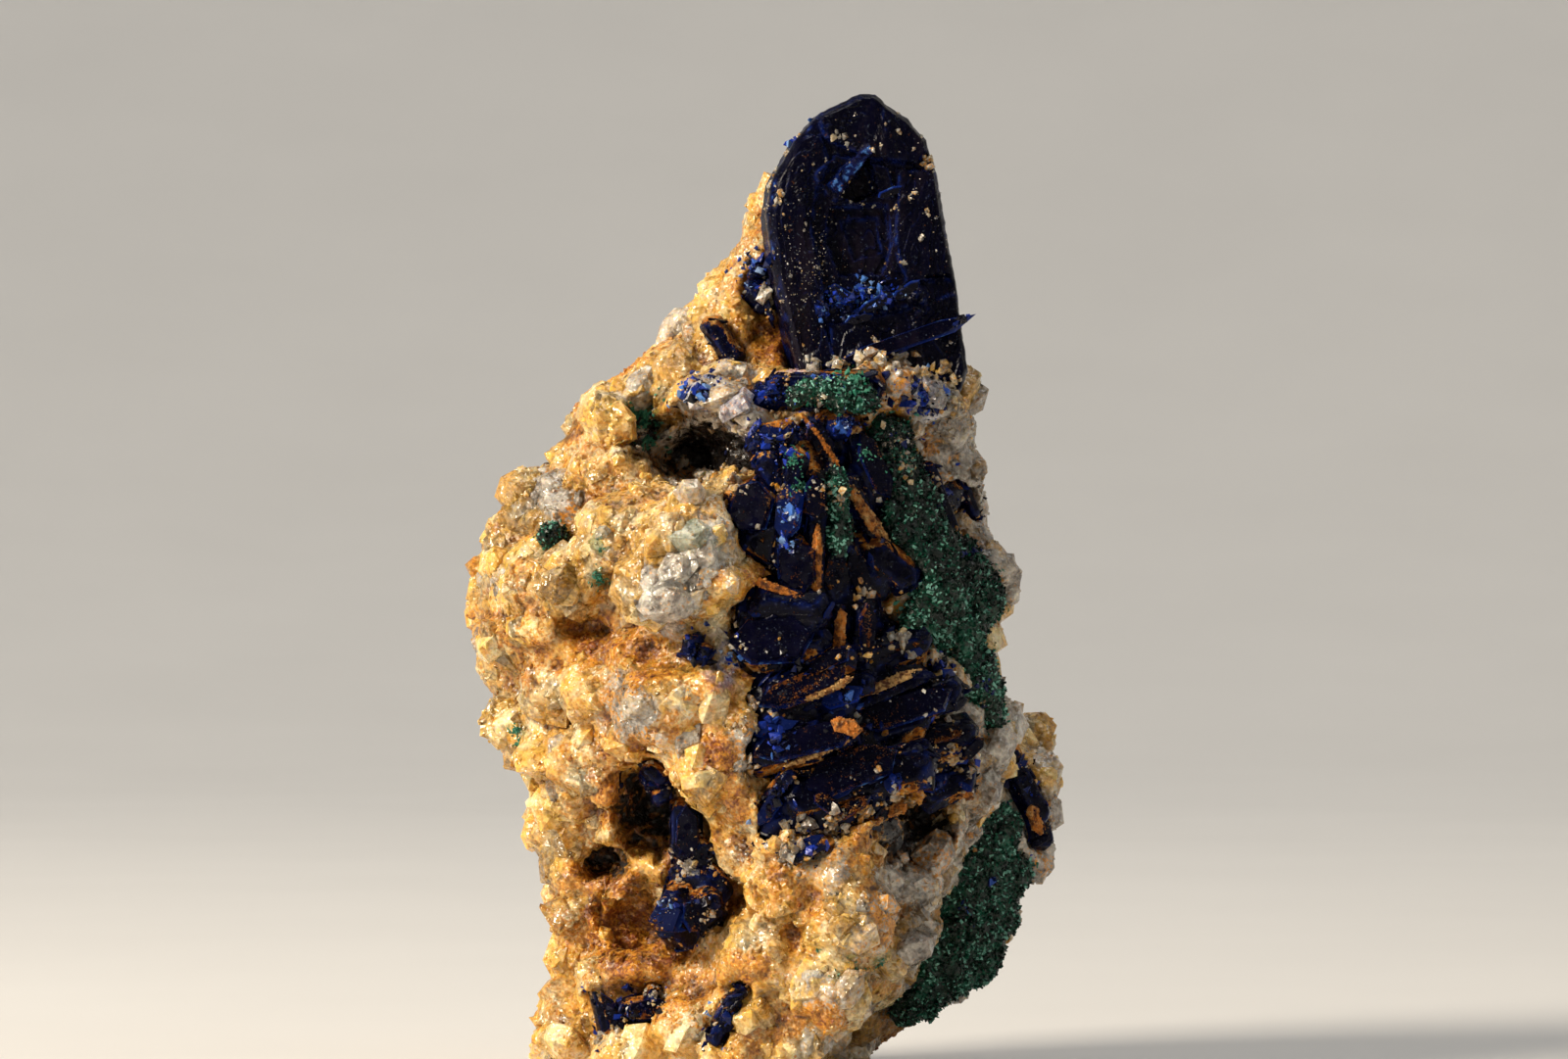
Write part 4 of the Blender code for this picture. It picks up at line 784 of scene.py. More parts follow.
class AzuriteCrustSettings(bpy.types.PropertyGroup):
    """The greens of the malachite and the colours of the iron crusts"""

    crystals: number("Crystals", "Tiny crystals on the malachite", 13500)
    green: colour("Green", "Colour of the malachite", (0.0015, 0.017, 0.0085))
    teal: colour("Teal", "Paler malachite", (0.010, 0.135, 0.078))
    # Painted glint colour of the palest crystals.
    glint: colour("Glint", "Palest crystals", (0.22, 0.52, 0.42))
    shadow: colour("Shadow", "Darkest crystals", (0.001, 0.007, 0.005))
    limonite: colour("Limonite", "Orange of the iron crusts", (0.50, 0.155, 0.012))
    ochre: colour("Ochre", "Paler iron crust", (0.56, 0.34, 0.12))
    rust: colour("Rust", "Dark iron crust", (0.10, 0.028, 0.006))


class AzuriteStageSettings(bpy.types.PropertyGroup):
    """The lights, the floor and the backdrop"""

    key: power("Key light", "Power of the light on the left", 5.8)
    fill: power("Fill light", "Power of the light on the right", 0.38)
    back: power("Back light", "Power of the light on the backdrop", 6.2)
    surround: FloatProperty(name="Surround", description="Strength of the even light", default=0.035, min=0.0)
    key_colour: colour("Key colour", "Colour of the light on the left", (1.0, 0.88, 0.72))
    paper: colour("Paper", "Colour of the floor and backdrop", (0.72, 0.71, 0.69))
    reach: length("Reach", "Radius of the floor", 1500.0)


# ------------------------------------------------------------------ the rock
SEAM_WIDTH = 0.22  # how far a seam between two grains reaches
NEIGHBOURS = 5  # grains near a point that it may lie on
OFF_BASE = 0.4  # how far the large grains and the tiny crystals keep off the base
GRAIN_OFF_BASE = 0.12  # the same for the other grains
MOST_SUNK = 0.4  # grains keep out of the hollows where they are deeper than this


def crystal_tree():
    """A tree of every crystal and crust, to keep grains off them."""
    return tree_of(*node_arrays(*(name for name in NODES if name != "matrix")))


def clear_of(tree, places, gap):
    """Which places lie at least this far from the crystals' surfaces."""
    keep = np.ones(len(places), dtype=bool)
    for i, place in enumerate(places.tolist()):
        _, _, _, far = tree.find_nearest(place, float(gap[i]) + 0.01)
        keep[i] = far is None or far > gap[i]
    return keep


def lumps_of(points, centres, radii, rng):
    """For each point a chance value for the grain that it lies on, and how near it is to a seam."""
    near = KDTree(len(centres))
    for i, centre in enumerate(centres.tolist()):
        near.insert(centre, i)
    near.balance()
    chance = rng.random(len(centres))
    lump, seam = np.empty(len(points)), np.empty(len(points))
    for i, point in enumerate(points.tolist()):
        found = sorted((far - radii[k], k) for _, k, far in near.find_n(point, NEIGHBOURS))
        lump[i] = chance[found[0][1]]
        seam[i] = found[1][0] - found[0][0]
    return lump, np.exp(-((seam / SEAM_WIDTH) ** 2))


def grown_rock(settings, crystals, rng):
    """The rock's skin with its large grains grown into it, and each grain's middle and radius."""
    corners, triangles = node_arrays("matrix")
    above = corners[triangles][:, :, 2].min(axis=1) > OFF_BASE
    place, normal, _ = spots_on(corners, triangles, settings.big_grains, rng, weight=above)
    radius = 0.5 + 0.8 * rng.random(len(place)) ** 1.5
    keep = clear_of(crystals, place, 0.75 * radius) & (place[:, 2] > radius)
    keep &= hollow_fields(place)[0] < MOST_SUNK
    place, normal, radius = place[keep], normal[keep], radius[keep]
    size = radius[:, None] * rng.uniform(0.7, 1.15, size=(len(radius), 3))
    shapes = pebbles(range(8), 11, 0.16) + [quartz_point(seed) for seed in range(4)]
    centres = place - normal * (0.45 * radius)[:, None]
    grains = many(shapes, centres, any_turns(len(place), rng), size, {})
    mesh = remeshed("rock", *joined([(corners, triangles), grains]), settings.skin / MM)
    return mesh, centres, radius


def weathered_rock(settings, crystals):
    """The rock with its seams, its rough faces and its hollows: mesh, corners, triangles, how far each
    corner lies in a crevice, how far it sank and what colours it."""
    rng = np.random.default_rng(SEEDS["rock"])
    mesh, centres, radius = grown_rock(settings, crystals, rng)
    skin, _, normals = mesh_arrays(mesh)
    lump, seam = lumps_of(skin, centres, 0.8 * radius, rng)
    sink, painted_hollow_shade = hollow_fields(skin)
    rise = 0.14 * (0.5 - cell_noise(skin, 1.3, 5.0)) + 0.08 * soft_noise(skin, 0.8, 9.0) - 0.24 * seam
    offsets = normals * (rise * smooth_step(0.3, 1.5, skin[:, 2]))[:, None]
    offsets[:, 1] += sink
    moved(mesh, offsets)
    skin, faces, normals = mesh_arrays(mesh)
    crevice = concavity(skin, faces, normals, rounds=5)
    values = colour_fields(skin, crevice, lump, seam, painted_hollow_shade)
    # the tone differs at random from grain to grain, and is darkened in the crevices and along the seams as
    # painted shade
    values["tone"] = 0.55 + 0.5 * (lump - 0.5) - 0.5 * (crevice - 0.5) - 0.3 * seam
    return mesh, skin, faces, crevice, sink, values


def grown_grains(base, weight, count, radii, sunk, shapes, crystals, rng):
    """Grains that grow on a set of arrays, clear of the azurite and malachite and of the base. Each is
    coloured like the ground under it, and differs a little from the next."""
    skin, faces, values = base
    above = skin[faces][:, :, 2].min(axis=1) > GRAIN_OFF_BASE
    place, normal, picked = spots_on(skin, faces, count, rng, weight=weight * above)
    radius = radii[0] + (radii[1] - radii[0]) * rng.random(count) ** 1.7
    centres = place - normal * (sunk * radius)[:, None]
    keep = clear_of(crystals, place, 0.8 * radius) & (centres[:, 2] > 0.95 * radius)
    centres, normal, picked, radius = centres[keep], normal[keep], picked[keep], radius[keep]
    own = {key: value[faces[picked]].mean(axis=1) for key, value in values.items()}
    own["chance"] = chance = rng.random(len(centres))
    own["tone"] = own["tone"] + rng.uniform(-0.25, 0.3, len(centres))
    own["stain"] = own["stain"] + rng.uniform(-0.2, 0.12, len(centres))
    # some grains take less of the painted hollow shade
    own["dark"] = own["dark"] - 0.35 * chance**2
    size = radius[:, None] * rng.uniform(0.75, 1.25, size=(len(radius), 3))
    return many(shapes, centres, standing_turns(normal, rng, 0.5), size, own)


def grounds(skin, faces, crevice, sink, stain):
    """How thickly each triangle of the rock is covered with blocks, with sugary quartz and with
    limonite crumbs."""
    middles = skin[faces].mean(axis=1)
    low_ground = smooth_step(0.35, 0.75, crevice[faces].mean(axis=1))
    right = 0.8 * smooth_step(6.0, 14.0, middles[:, 0])
    sugar = 0.15 + smooth_step(-0.05, 0.3, soft_noise(middles, 4.0, 70.0)) + 0.8 * low_ground + right
    stained = stain[faces].mean(axis=1)
    crumbly = 0.1 + smooth_step(0.2, 0.7, stained) + 0.3 * low_ground
    blocky = (0.3 + smooth_step(0.6, 0.1, stained)) * (sink[faces].max(axis=1) < 0.3)
    return blocky, sugar, crumbly


class AZURITE_OT_rock(bpy.types.Operator):
    """Make the quartz rock, its grains and its limonite crumbs"""

    bl_idname = "azurite.rock"
    bl_label = "Quartz rock"

    def execute(self, context):
        settings = context.scene.azurite_rock
        crystals = crystal_tree()
        mesh, skin, faces, crevice, sink, values = weathered_rock(settings, crystals)
        rng = np.random.default_rng(SEEDS["grains"])
        blocky, sugar, crumbly = grounds(skin, faces, crevice, sink, values["stain"])
        blunt = pebbles(range(10, 18), 12, 0.22, 0.75) + pebbles(range(18, 24), 18, 0.15, 0.75)
        rock = (skin, faces, values)
        blocks = grown_grains(rock, blocky, settings.blocks, (0.7, 2.2), 0.55, blunt, crystals, rng)
        blocks[2]["stain"] = 0.8 * blocks[2]["stain"] - 0.15
        blocks[2]["grey"] += 0.9 * (blocks[2].pop("chance") - 0.5)
        ground = stacked([rock, blocks])
        pointed = pebbles(range(20, 28), 11, 0.17) + [quartz_point(seed) for seed in range(20, 26)]
        tiny, sharp = pebbles(range(40, 48), 7, 0.15), pebbles(range(60, 68), 7, 0.2)
        # name, ground, its share on the blocks, how many, their radii, how deep they sink, their shapes
        rows = [
            ("quartz_crystals", sugar, 0.3, settings.middle_grains, (0.20, 0.66), 0.5, pointed),
            ("quartz_sugar", sugar, 0.35, settings.fine_grains, (0.09, 0.24), 0.1, tiny),
            ("limonite_crumbs", crumbly, 0.15, settings.crumbs, (0.08, 0.26), 0.1, sharp),
        ]
        grains = {"quartz_blocks": blocks}
        for name, weight, on_blocks, count, radii, sunk, shapes in rows:
            weight = np.concatenate([weight, np.full(len(blocks[1]), on_blocks)])
            grains[name] = grown_grains(ground, weight, count, radii, sunk, shapes, crystals, rng)
            grains[name][2].pop("chance")
        grains["limonite_crumbs"][2]["stain"] += 0.32
        material = quartz_material(settings)
        skin_piece = piece_of("rock", mesh, material, smooth=True, values=values)
        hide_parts("matrix")
        for name, arrays in grains.items():
            crystals_of(name, arrays, material)
        return {"FINISHED"}


# ------------------------------------------------------------------ the great blade
BLADE_FOOT = Vector((10.2, -3.2, 51.2))
BLADE_TURN = Matrix.Rotation(math.radians(9.0), 3, "Z") @ Matrix.Rotation(math.radians(-3.0), 3, "X")
BLADE_FRONT = -2.3  # the blade's front and back faces, measured from its middle
BLADE_BACK = 2.3
BLADE_SHARP = 28.0  # degrees between faces that stay a sharp edge
BLADE_STEPS = 290  # steps round its edge
BLADE_RINGS = 100  # rings on its front face
BLADE_HEART = (-0.4, 8.0)  # the point that its rings close in on
PAINTED_HIGHLIGHT_RISE = 0.8  # layers that stand out further than this are painted with highlight all over
BROKEN_UP = 5.0  # how high up its face a band of broken ground runs
CRACK_UP = 6.85  # how high up its face the crack on its right runs
BLADE_GLOSS, BLADE_SPARKLE = 0.14, 0.05
BLADE_OUTLINE = [
    (-5.3, -4.5), (-5.4, 0.0), (-6.3, 3.6), (-7.1, 7.0), (-7.5, 11.2), (-7.1, 13.7),
    (-5.5, 16.5), (-3.6, 18.6), (-1.9, 19.4), (-0.7, 20.0), (0.4, 20.0), (1.4, 19.1),
    (2.8, 18.2), (4.1, 16.7), (4.9, 14.0), (5.5, 10.2), (6.2, 6.3), (6.5, 3.6),
    (7.0, 0.0), (6.3, -1.8), (3.5, -4.5),
]  # fmt: skip
# Growth layers on its face: how far each stands out or lies in, then its outline.
LAYERS = [
    (0.35, [(-6.4, -1.0), (-7.5, 3.8), (-8.3, 7.2), (-8.7, 11.0), (-8.1, 14.0), (-6.4, 17.1), (-3.6, 16.9),
            (-3.0, 15.0), (-3.9, 13.0), (-4.3, 10.0), (-3.6, 6.5), (-3.3, 3.0), (-2.6, 0.6)]),
    (0.55, [(-3.4, 16.6), (-4.4, 19.3), (-1.7, 20.6), (-0.6, 21.2), (0.3, 21.2), (1.8, 20.0), (3.8, 18.8),
            (5.3, 16.8), (3.2, 14.8), (0.9, 15.0), (-1.0, 15.6)]),
    (0.45, [(1.9, 14.6), (6.2, 14.4), (6.9, 10.2), (7.5, 6.6), (2.4, 6.3), (1.6, 9.0)]),
    (0.35, [(-3.0, 0.2), (-3.2, 3.4), (1.6, 4.3), (7.5, 6.2), (8.0, 3.4), (8.3, -1.0)]),
    (0.28, [(-4.4, 14.0), (-2.6, 15.6), (1.2, 14.8), (1.9, 12.4), (-0.4, 12.6), (-2.8, 12.0)]),
    (0.85, [(-3.3, 13.3), (-2.2, 14.6), (-0.3, 16.3), (0.2, 15.7), (-1.2, 14.0), (-2.3, 12.4)]),
    (-1.8, [(-2.4, 12.5), (-1.3, 13.9), (-0.2, 15.5), (0.3, 14.2), (0.5, 12.9), (-1.0, 12.1)]),
    (-0.75, [(-3.0, 11.9), (1.2, 12.1), (1.6, 9.2), (0.9, 6.9), (-2.4, 6.8), (-3.4, 9.4)]),
    (-0.30, [(-2.2, 10.9), (0.6, 11.2), (0.9, 8.6), (-1.2, 7.9)]),
]  # fmt: skip
# Small plates on its face: across, out, up, length, width, thickness, turn, tilt and yaw.
BLADE_SIDE_BLADES = [
    (2.6, -2.5, 2.3, 11.0, 1.3, 1.1, 19, 12, 10), (-0.3, -2.6, 1.0, 7.4, 0.8, 0.9, 11, 10, 6),
    (1.5, -2.6, 12.9, 2.0, 0.6, 0.6, 24, -20, 0), (-1.9, -2.4, 5.6, 2.6, 1.0, 0.8, -30, -10, 0),
    (0.6, -2.5, 5.0, 3.0, 0.9, 0.8, 24, -15, 0), (2.7, -2.6, 5.9, 2.6, 0.7, 0.7, 34, -18, 0),
    (-0.6, -2.5, 3.9, 2.4, 0.8, 0.7, 14, -15, 0),
]  # fmt: skip


def inside_distance(points, outline):
    """Distance of each point to an outline, positive inside it."""
    ring = np.array(outline, dtype=float)
    nearest = np.full(len(points), 1e9)
    inside = np.zeros(len(points), dtype=bool)
    for (ax, ay), (bx, by) in zip(ring, np.roll(ring, -1, axis=0)):
        edge = np.array((bx - ax, by - ay))
        away = points - (ax, ay)
        share = np.clip(away @ edge / (edge @ edge), 0, 1)
        nearest = np.minimum(nearest, np.linalg.norm(away - share[:, None] * edge, axis=1))
        crosses = (ay > points[:, 1]) != (by > points[:, 1])
        with np.errstate(divide="ignore", invalid="ignore"):
            inside ^= crosses & (points[:, 0] < (bx - ax) * (points[:, 1] - ay) / (by - ay) + ax)
    return np.where(inside, nearest, -nearest)


def blade_relief(flat):
    """How far the blade's front stands out at (across, up), and how strong the painted highlight on its edges
    is there.
    """
    across, up = flat.T
    spots = np.column_stack([flat, np.zeros(len(flat))])
    wobble = 0.10 * soft_noise(spots, 0.7, 4.0)
    rise = np.zeros(len(flat))
    # rim is painted highlight: along the layers' edges, the growth lines and the broken chips
    rim = np.zeros(len(flat))
    for proud, outline in LAYERS:
        depth = inside_distance(flat, outline) + wobble
        rise += proud * smooth_step(0.0, 0.16, depth)
        rim = np.maximum(rim, 0.9 * np.exp(-((depth - 0.10) ** 2) / 0.02))
        if proud > PAINTED_HIGHLIGHT_RISE:
            rim = np.maximum(rim, 1.4 * smooth_step(0.0, 0.2, depth))
    # long growth lines that run up the face
    lines = soft_noise(spots, (2.4, 5.5, 1.0), 12.0) * 4.5 + soft_noise(spots, (0.9, 3.0, 1.0), 31.0) * 1.2
    rise += 0.085 * np.floor(lines)
    rim = np.maximum(rim, 0.5 * smooth_step(0.12, 0.0, lines - np.floor(lines)))
    # a band of broken ground low on the face
    broken = smooth_step(1.2, 0.2, np.abs(up - BROKEN_UP)) * smooth_step(4.6, 3.2, np.abs(across))
    chips = cell_noise(spots, 0.55, 2.0)
    rise += broken * 0.60 * (0.5 - chips)
    rim = np.maximum(rim, 1.3 * broken * smooth_step(0.60, 0.2, chips))
    rise += 0.03 * soft_noise(spots, 0.35, 50.0)
    # a crack on the right
    on_crack = smooth_step(3.6, 4.0, across) * smooth_step(6.4, 6.1, across)
    crack_up = CRACK_UP + 0.08 * (across - 5.0)
    rise -= 0.5 * on_crack * np.exp(-(((up - crack_up) / 0.10) ** 2))
    return rise, rim


def blade_edge():
    """The blade's edge line seen from its heart: ways outward, and how far, with small chips."""
    loop = np.array(BLADE_OUTLINE)
    lengths = np.linalg.norm(np.roll(loop, -1, axis=0) - loop, axis=1)
    walk = np.concatenate([[0], np.cumsum(lengths)])
    steps = np.linspace(0, walk[-1], BLADE_STEPS, endpoint=False)
    closed = np.vstack([loop, loop[:1]])
    line = np.column_stack([np.interp(steps, walk, closed[:, k]) for k in range(2)])
    spots = np.column_stack([line, np.zeros(len(line))])
    out = line - BLADE_HEART
    span = np.linalg.norm(out, axis=1)
    chips = 0.10 * soft_noise(spots, 0.5, 6.0) + 0.07 * np.abs(soft_noise(spots, 0.22, 8.0))
    return out / span[:, None], span + chips


def ring_faces(rings, count):
    """Triangles between rings of this many corners, closed by a last two corners, one at each end."""
    here = np.arange(count)
    after = np.roll(here, -1)
    base = (np.arange(rings - 1) * count)[:, None]
    a, b = (base + here).ravel(), (base + after).ravel()
    first = np.column_stack([a, b, b + count])
    second = np.column_stack([a, b + count, a + count])
    tip = rings * count
    start_cap = np.column_stack([after, here, np.full(count, tip)])
    end = (rings - 1) * count
    end_cap = np.column_stack([here + end, after + end, np.full(count, tip + 1)])
    return np.concatenate([first, second, start_cap, end_cap])


def blade_solid():
    """The great blade as rings that close in on its heart, front and back."""
    out, span = blade_edge()
    # each ring: how far it is drawn in, and how deep it lies
    profile = [(1.2, BLADE_BACK), (0.5, BLADE_BACK - 0.5), (0.0, BLADE_BACK - 1.2), (0.1, 0.6), (0.0, 0.2)]
    profile += [(0.12, -0.4), (0.0, -1.0), (0.0, BLADE_FRONT + 0.5), (0.08, BLADE_FRONT + 0.3)]
    profile += [(0.18, BLADE_FRONT + 0.12), (0.3, BLADE_FRONT)]
    back, front = profile[0][0], profile[-1][0]
    rings = [((span - back) * share, BLADE_BACK) for share in np.linspace(0.06, 0.96, 8)]
    rings += [(span - inset, depth) for inset, depth in profile]
    rings += [((span - front) * share, BLADE_FRONT) for share in np.linspace(1.0, 0.01, BLADE_RINGS)[1:]]
    flat = np.concatenate([BLADE_HEART + out * far[:, None] for far, _ in rings])
    depth = np.concatenate([np.full(len(out), deep) for _, deep in rings])
    rise, rim = blade_relief(flat)
    edge = inside_distance(flat, BLADE_OUTLINE)
    fade = smooth_step(0.15, 0.5, edge) * (depth <= BLADE_FRONT + 0.01)
    spots = np.column_stack([flat[:, 0], depth, flat[:, 1]])
    chipped = smooth_step(-0.1, 0.4, soft_noise(spots, 0.9, 44.0))
    # painted highlight along the chipped outline and the layers' edges
    rim = np.maximum(0.75 * rim * fade, 0.8 * chipped * np.exp(-((edge - 0.12) ** 2) / 0.03))
    local = np.column_stack([flat[:, 0], depth - rise * fade, flat[:, 1]])
    across, up = BLADE_HEART
    local = np.vstack([local, [across, BLADE_BACK, up], [across, local[-1][1], up]])
    rim = np.concatenate([rim, [0.0, 0.0]])
    # the tone also lifts with the painted highlight
    tone, crust, upright = 0.12 + 0.12 * rim, np.zeros(len(rim)), np.ones(len(rim))
    values = {"rim": rim, "tone": tone, "crust": crust, "upright": upright}
    return local @ np.array(BLADE_TURN).T + np.array(BLADE_FOOT), ring_faces(len(rings), len(out)), values


def facing(turn, tilt=0.0, yaw=0.0):
    """The rotation of a plate whose face looks at the viewer."""
    spin = Matrix.Rotation(math.radians(yaw), 3, "Z")
    spin @= Matrix.Rotation(math.radians(-turn), 3, "Y")
    return spin @ Matrix.Rotation(math.radians(-tilt), 3, "X")


def blade_rows(rows, seed, face=PLATE_FACE):
    """Bevelled plates from rows of place, length, width, thickness, turn, tilt and yaw."""
    parts = []
    for i, (x, y, z, long, wide, thick, turn, tilt, yaw) in enumerate(rows):
        shape, faces = azurite_plate(seed + i, face)
        upright = shape[:, [0, 2, 1]] * (long / 2, thick / (2 * PLATE_HALF), wide)
        corners = upright @ np.array(facing(turn, tilt, yaw)).T + (x, y, z)
        rim = (shape[:, 2] == 0).astype(float)
        nothing = np.zeros(len(rim))
        # painted highlight: each plate's rim is given a lighter tone
        own = {"rim": rim, "tone": 0.3 + 0.5 * rim, "crust": nothing, "upright": nothing}
        parts.append((corners, faces[:, ::-1], own))
    return parts


class AZURITE_OT_blade(bpy.types.Operator):
    """Make the great blade with its growth layers and the plates that cross it"""

    bl_idname = "azurite.blade"
    bl_label = "Great blade"

    def execute(self, context):
        blues, crusts = context.scene.azurite_crystals, context.scene.azurite_crusts
        material = azurite_material("great blade", blues, crusts, BLADE_GLOSS, BLADE_SPARKLE, blues.plum)
        x, y, z = BLADE_FOOT
        rows = [(x + a, y + b, z + c, *rest) for a, b, c, *rest in BLADE_SIDE_BLADES]
        plates = blade_rows(rows, PLATE_SEEDS["on the great blade"])
        corners, triangles, values = stacked([blade_solid(), *plates])
        mesh = new_mesh("great_blade", corners, triangles)
        mesh.set_sharp_from_angle(angle=math.radians(BLADE_SHARP))
        blade = piece_of("great_blade", mesh, material, smooth=True, values=values)
        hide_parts("azurite_blade")
        return {"FINISHED"}


# ------------------------------------------------------------------ the smaller azurite
MERGE_WITHIN = 0.002  # corners nearer together than this are one
GROUP_EDGE = 22.0  # degrees between faces whose edge is bevelled
GROUP_SHARP = 20.0  # degrees between faces that stay a sharp edge
EDGE_SHARES = 8  # parts that an edge is cut in to find how near a corner lies to it
PAINTED_GLOW_REACH = 0.11  # how far from an edge the painted blue glow fades
MOST_CUTS = 6  # times that the faces are cut at most
GROUP_GLOSS, GROUP_SPARKLE = 0.10, 0.22


def put_in_order(solid, count):
    """Puts a solid's first faces in an order given by their corners. A bevel leaves gaps in the list
    of faces, and Blender fills them in a different order each time."""
    solid.verts.index_update()
    first = sorted(solid.faces[:count], key=lambda face: sorted(v.index for v in face.verts))
    ranks = {face: rank for rank, face in enumerate(first + solid.faces[count:])}
    solid.faces.sort(key=ranks.get)
    solid.faces.index_update()


def refined(names, bevel, facet):
    """CAD nodes in one mesh, their edges bevelled and their faces cut small, in millimetres, and how
    near each corner lies to an edge."""
    solid = bmesh.new()
    for name in names:
        solid.from_mesh(NODES[name].data)
    bmesh.ops.scale(solid, vec=(1 / MM,) * 3, verts=solid.verts)
    bmesh.ops.remove_doubles(solid, verts=solid.verts[:], dist=MERGE_WITHIN)
    count = len(solid.faces)
    limit = math.radians(GROUP_EDGE)
    sharp = [e for e in solid.edges if len(e.link_faces) == 2 and e.calc_face_angle() > limit]
    near = KDTree(len(sharp) * (EDGE_SHARES + 1))
    for start, end in (e.verts for e in sharp):
        for share in range(EDGE_SHARES + 1):
            near.insert(start.co.lerp(end.co, share / EDGE_SHARES), 0)
    near.balance()
    bmesh.ops.bevel(solid, geom=sharp, offset=bevel, segments=1, affect="EDGES", clamp_overlap=False)
    bmesh.ops.triangulate(solid, faces=solid.faces[:])
    put_in_order(solid, count)
    for _ in range(MOST_CUTS):
        long = [e for e in solid.edges if e.calc_length() > facet]
        if not long:
            break
        bmesh.ops.subdivide_edges(solid, edges=long, cuts=1)
        bmesh.ops.triangulate(solid, faces=[f for f in solid.faces if len(f.verts) > 3])
    bmesh.ops.recalc_face_normals(solid, faces=solid.faces[:])
    rim = np.array([math.exp(-near.find(v.co)[2] / PAINTED_GLOW_REACH) for v in solid.verts])
    mesh = bpy.data.meshes.new("azurite")
    solid.to_mesh(mesh)
    solid.free()
    return mesh, rim


# Single blades in front of the smaller groups: across, height, length, width, thickness, turn, tilt,
# yaw and tone, which lightens their faces as painted light.
FRONT_BLADES = [
    (3.3, 32.2, 6.2, 3.6, 1.6, 4, 12, -4, 0.05), (5.6, 28.9, 7.2, 1.9, 1.6, 22, 24, 0, 0.10),
    (12.7, 27.3, 7.8, 2.3, 2.0, 19, 16, 8, 0.20), (8.2, 28.2, 3.4, 1.2, 1.2, 20, 22, 0, 0.55),
    (5.6, 25.1, 8.4, 1.9, 1.8, 15, 20, 0, 0.02), (3.6, 26.0, 3.6, 0.9, 1.2, 12, 22, 0, 0.50),
    (8.9, 23.0, 7.6, 2.9, 1.8, 21, 18, 4, 0.00), (14.9, 22.0, 2.2, 1.0, 1.2, 30, 14, 20, 0.50),
    (11.8, 22.3, 1.6, 0.9, 1.0, 44, 10, 0, 0.50), (7.2, 20.8, 2.6, 1.0, 1.1, -34, 10, 0, 0.30),
    (9.0, 20.5, 3.2, 0.9, 1.1, 28, 20, 0, 0.10), (5.6, 17.9, 3.2, 1.0, 1.1, 26, 14, 0, 0.45),
    (3.1, 20.4, 2.6, 1.2, 1.1, 58, 0, -10, 0.40), (2.6, 29.4, 3.6, 1.4, 1.3, 28, 16, -6, 0.05),
    (15.4, 25.4, 3.6, 1.2, 1.3, 12, 18, 20, 0.10), (17.4, 24.4, 2.6, 1.1, 1.2, 40, 0, 30, 0.20),
    (5.1, 37.5, 4.1, 2.7, 1.5, 86, 0, -4, 0.00), (1.9, 41.6, 3.8, 3.0, 1.6, 66, 0, -8, 0.12),
    (4.55, 41.2, 4.2, 1.9, 1.5, 84, 0, -16, 0.45), (6.3, 42.2, 3.2, 1.5, 1.4, 88, 0, 10, 0.05),
    (7.6, 37.2, 3.2, 1.6, 1.3, 80, 0, 12, 0.05), (10.0, 32.7, 4.0, 1.1, 1.2, 88, 0, 20, 0.12),
    (7.4, 30.8, 3.6, 1.2, 1.2, 30, 16, 0, 0.10), (6.7, 46.4, 3.0, 1.6, 1.2, -60, 0, 10, 0.02),
    (10.6, 44.4, 5.6, 1.6, 1.5, -66, 0, 14, 0.25), (9.4, 36.9, 3.4, 1.6, 1.3, -64, 0, 12, 0.10),
    (-4.0, 12.8, 3.0, 2.4, 1.5, 64, 0, -18, 0.42), (-2.2, 12.6, 2.4, 1.9, 1.4, -56, 0, 18, 0.20),
    (-2.6, 18.7, 3.6, 1.6, 1.3, 88, 0, 0, 0.04), (-7.6, 5.0, 5.0, 1.0, 1.1, 118, 0, -10, 0.10),
    (-5.4, 5.9, 3.4, 1.6, 1.3, 12, 10, 0, 0.25), (0.5, 5.9, 3.0, 1.0, 1.1, 62, 0, 8, 0.30),
    (-0.6, 3.5, 2.8, 0.8, 1.0, 76, 0, 0, 0.15),
]  # fmt: skip


# Among the columns, whose blades stand, and not in the stack: from and to how high, and how far right.
COLUMNS_FROM, COLUMNS_TO, COLUMNS_RIGHT = 35.5, 48.5, 12.5
STEEP = 50.0  # degrees of turn from which a single blade stands
PLATES_OFF_BASE = 0.6
# The way that small blades lie: those of the columns, and those of the stack.
STANDING_WAY, LYING_WAY = (0.1, 0.0, 1.0), (0.95, 0.0, 0.26)


def first_met(tree, across, height):
    """Where a line from the front first meets the skin, and the normal there."""
    place, normal, _, _ = tree.ray_cast(Vector((across, FRONT_START, height)), INWARD)
    return place, normal


def front_blades():
    """The single blades, each sunk into what lies behind it."""
    tree = tree_of(*node_arrays(*AZURITE_GROUPS, "matrix", *MALACHITE_PARTS))
    parts = []
    for i, (x, z, long, wide, thick, turn, tilt, yaw, tone) in enumerate(FRONT_BLADES):
        y = first_met(tree, x, z)[0].y + 0.08 * thick
        row = (x, y, z, long, wide, thick, turn, tilt, yaw)
        (corners, faces, own), = blade_rows([row], PLATE_SEEDS["single"] + i, BROAD_FACE)
        # painted highlight: the rim lightens the tone
        own["tone"] = tone + 0.45 * own["rim"]
        own["upright"] = np.full(len(corners), float(abs(turn) > STEEP))
        own["crust"] = 0.5 * smooth_step(0.0, 0.35, soft_noise(corners, 1.3, 97.0))
        parts.append((corners, faces, own))
    return stacked(parts)


def is_upright(points):
    """1 for a point among the columns, and 0 elsewhere."""
    _, _, height = points.T
    inside = (height > COLUMNS_FROM) & (height < COLUMNS_TO) & (points[:, 0] < COLUMNS_RIGHT)
    return inside.astype(float)


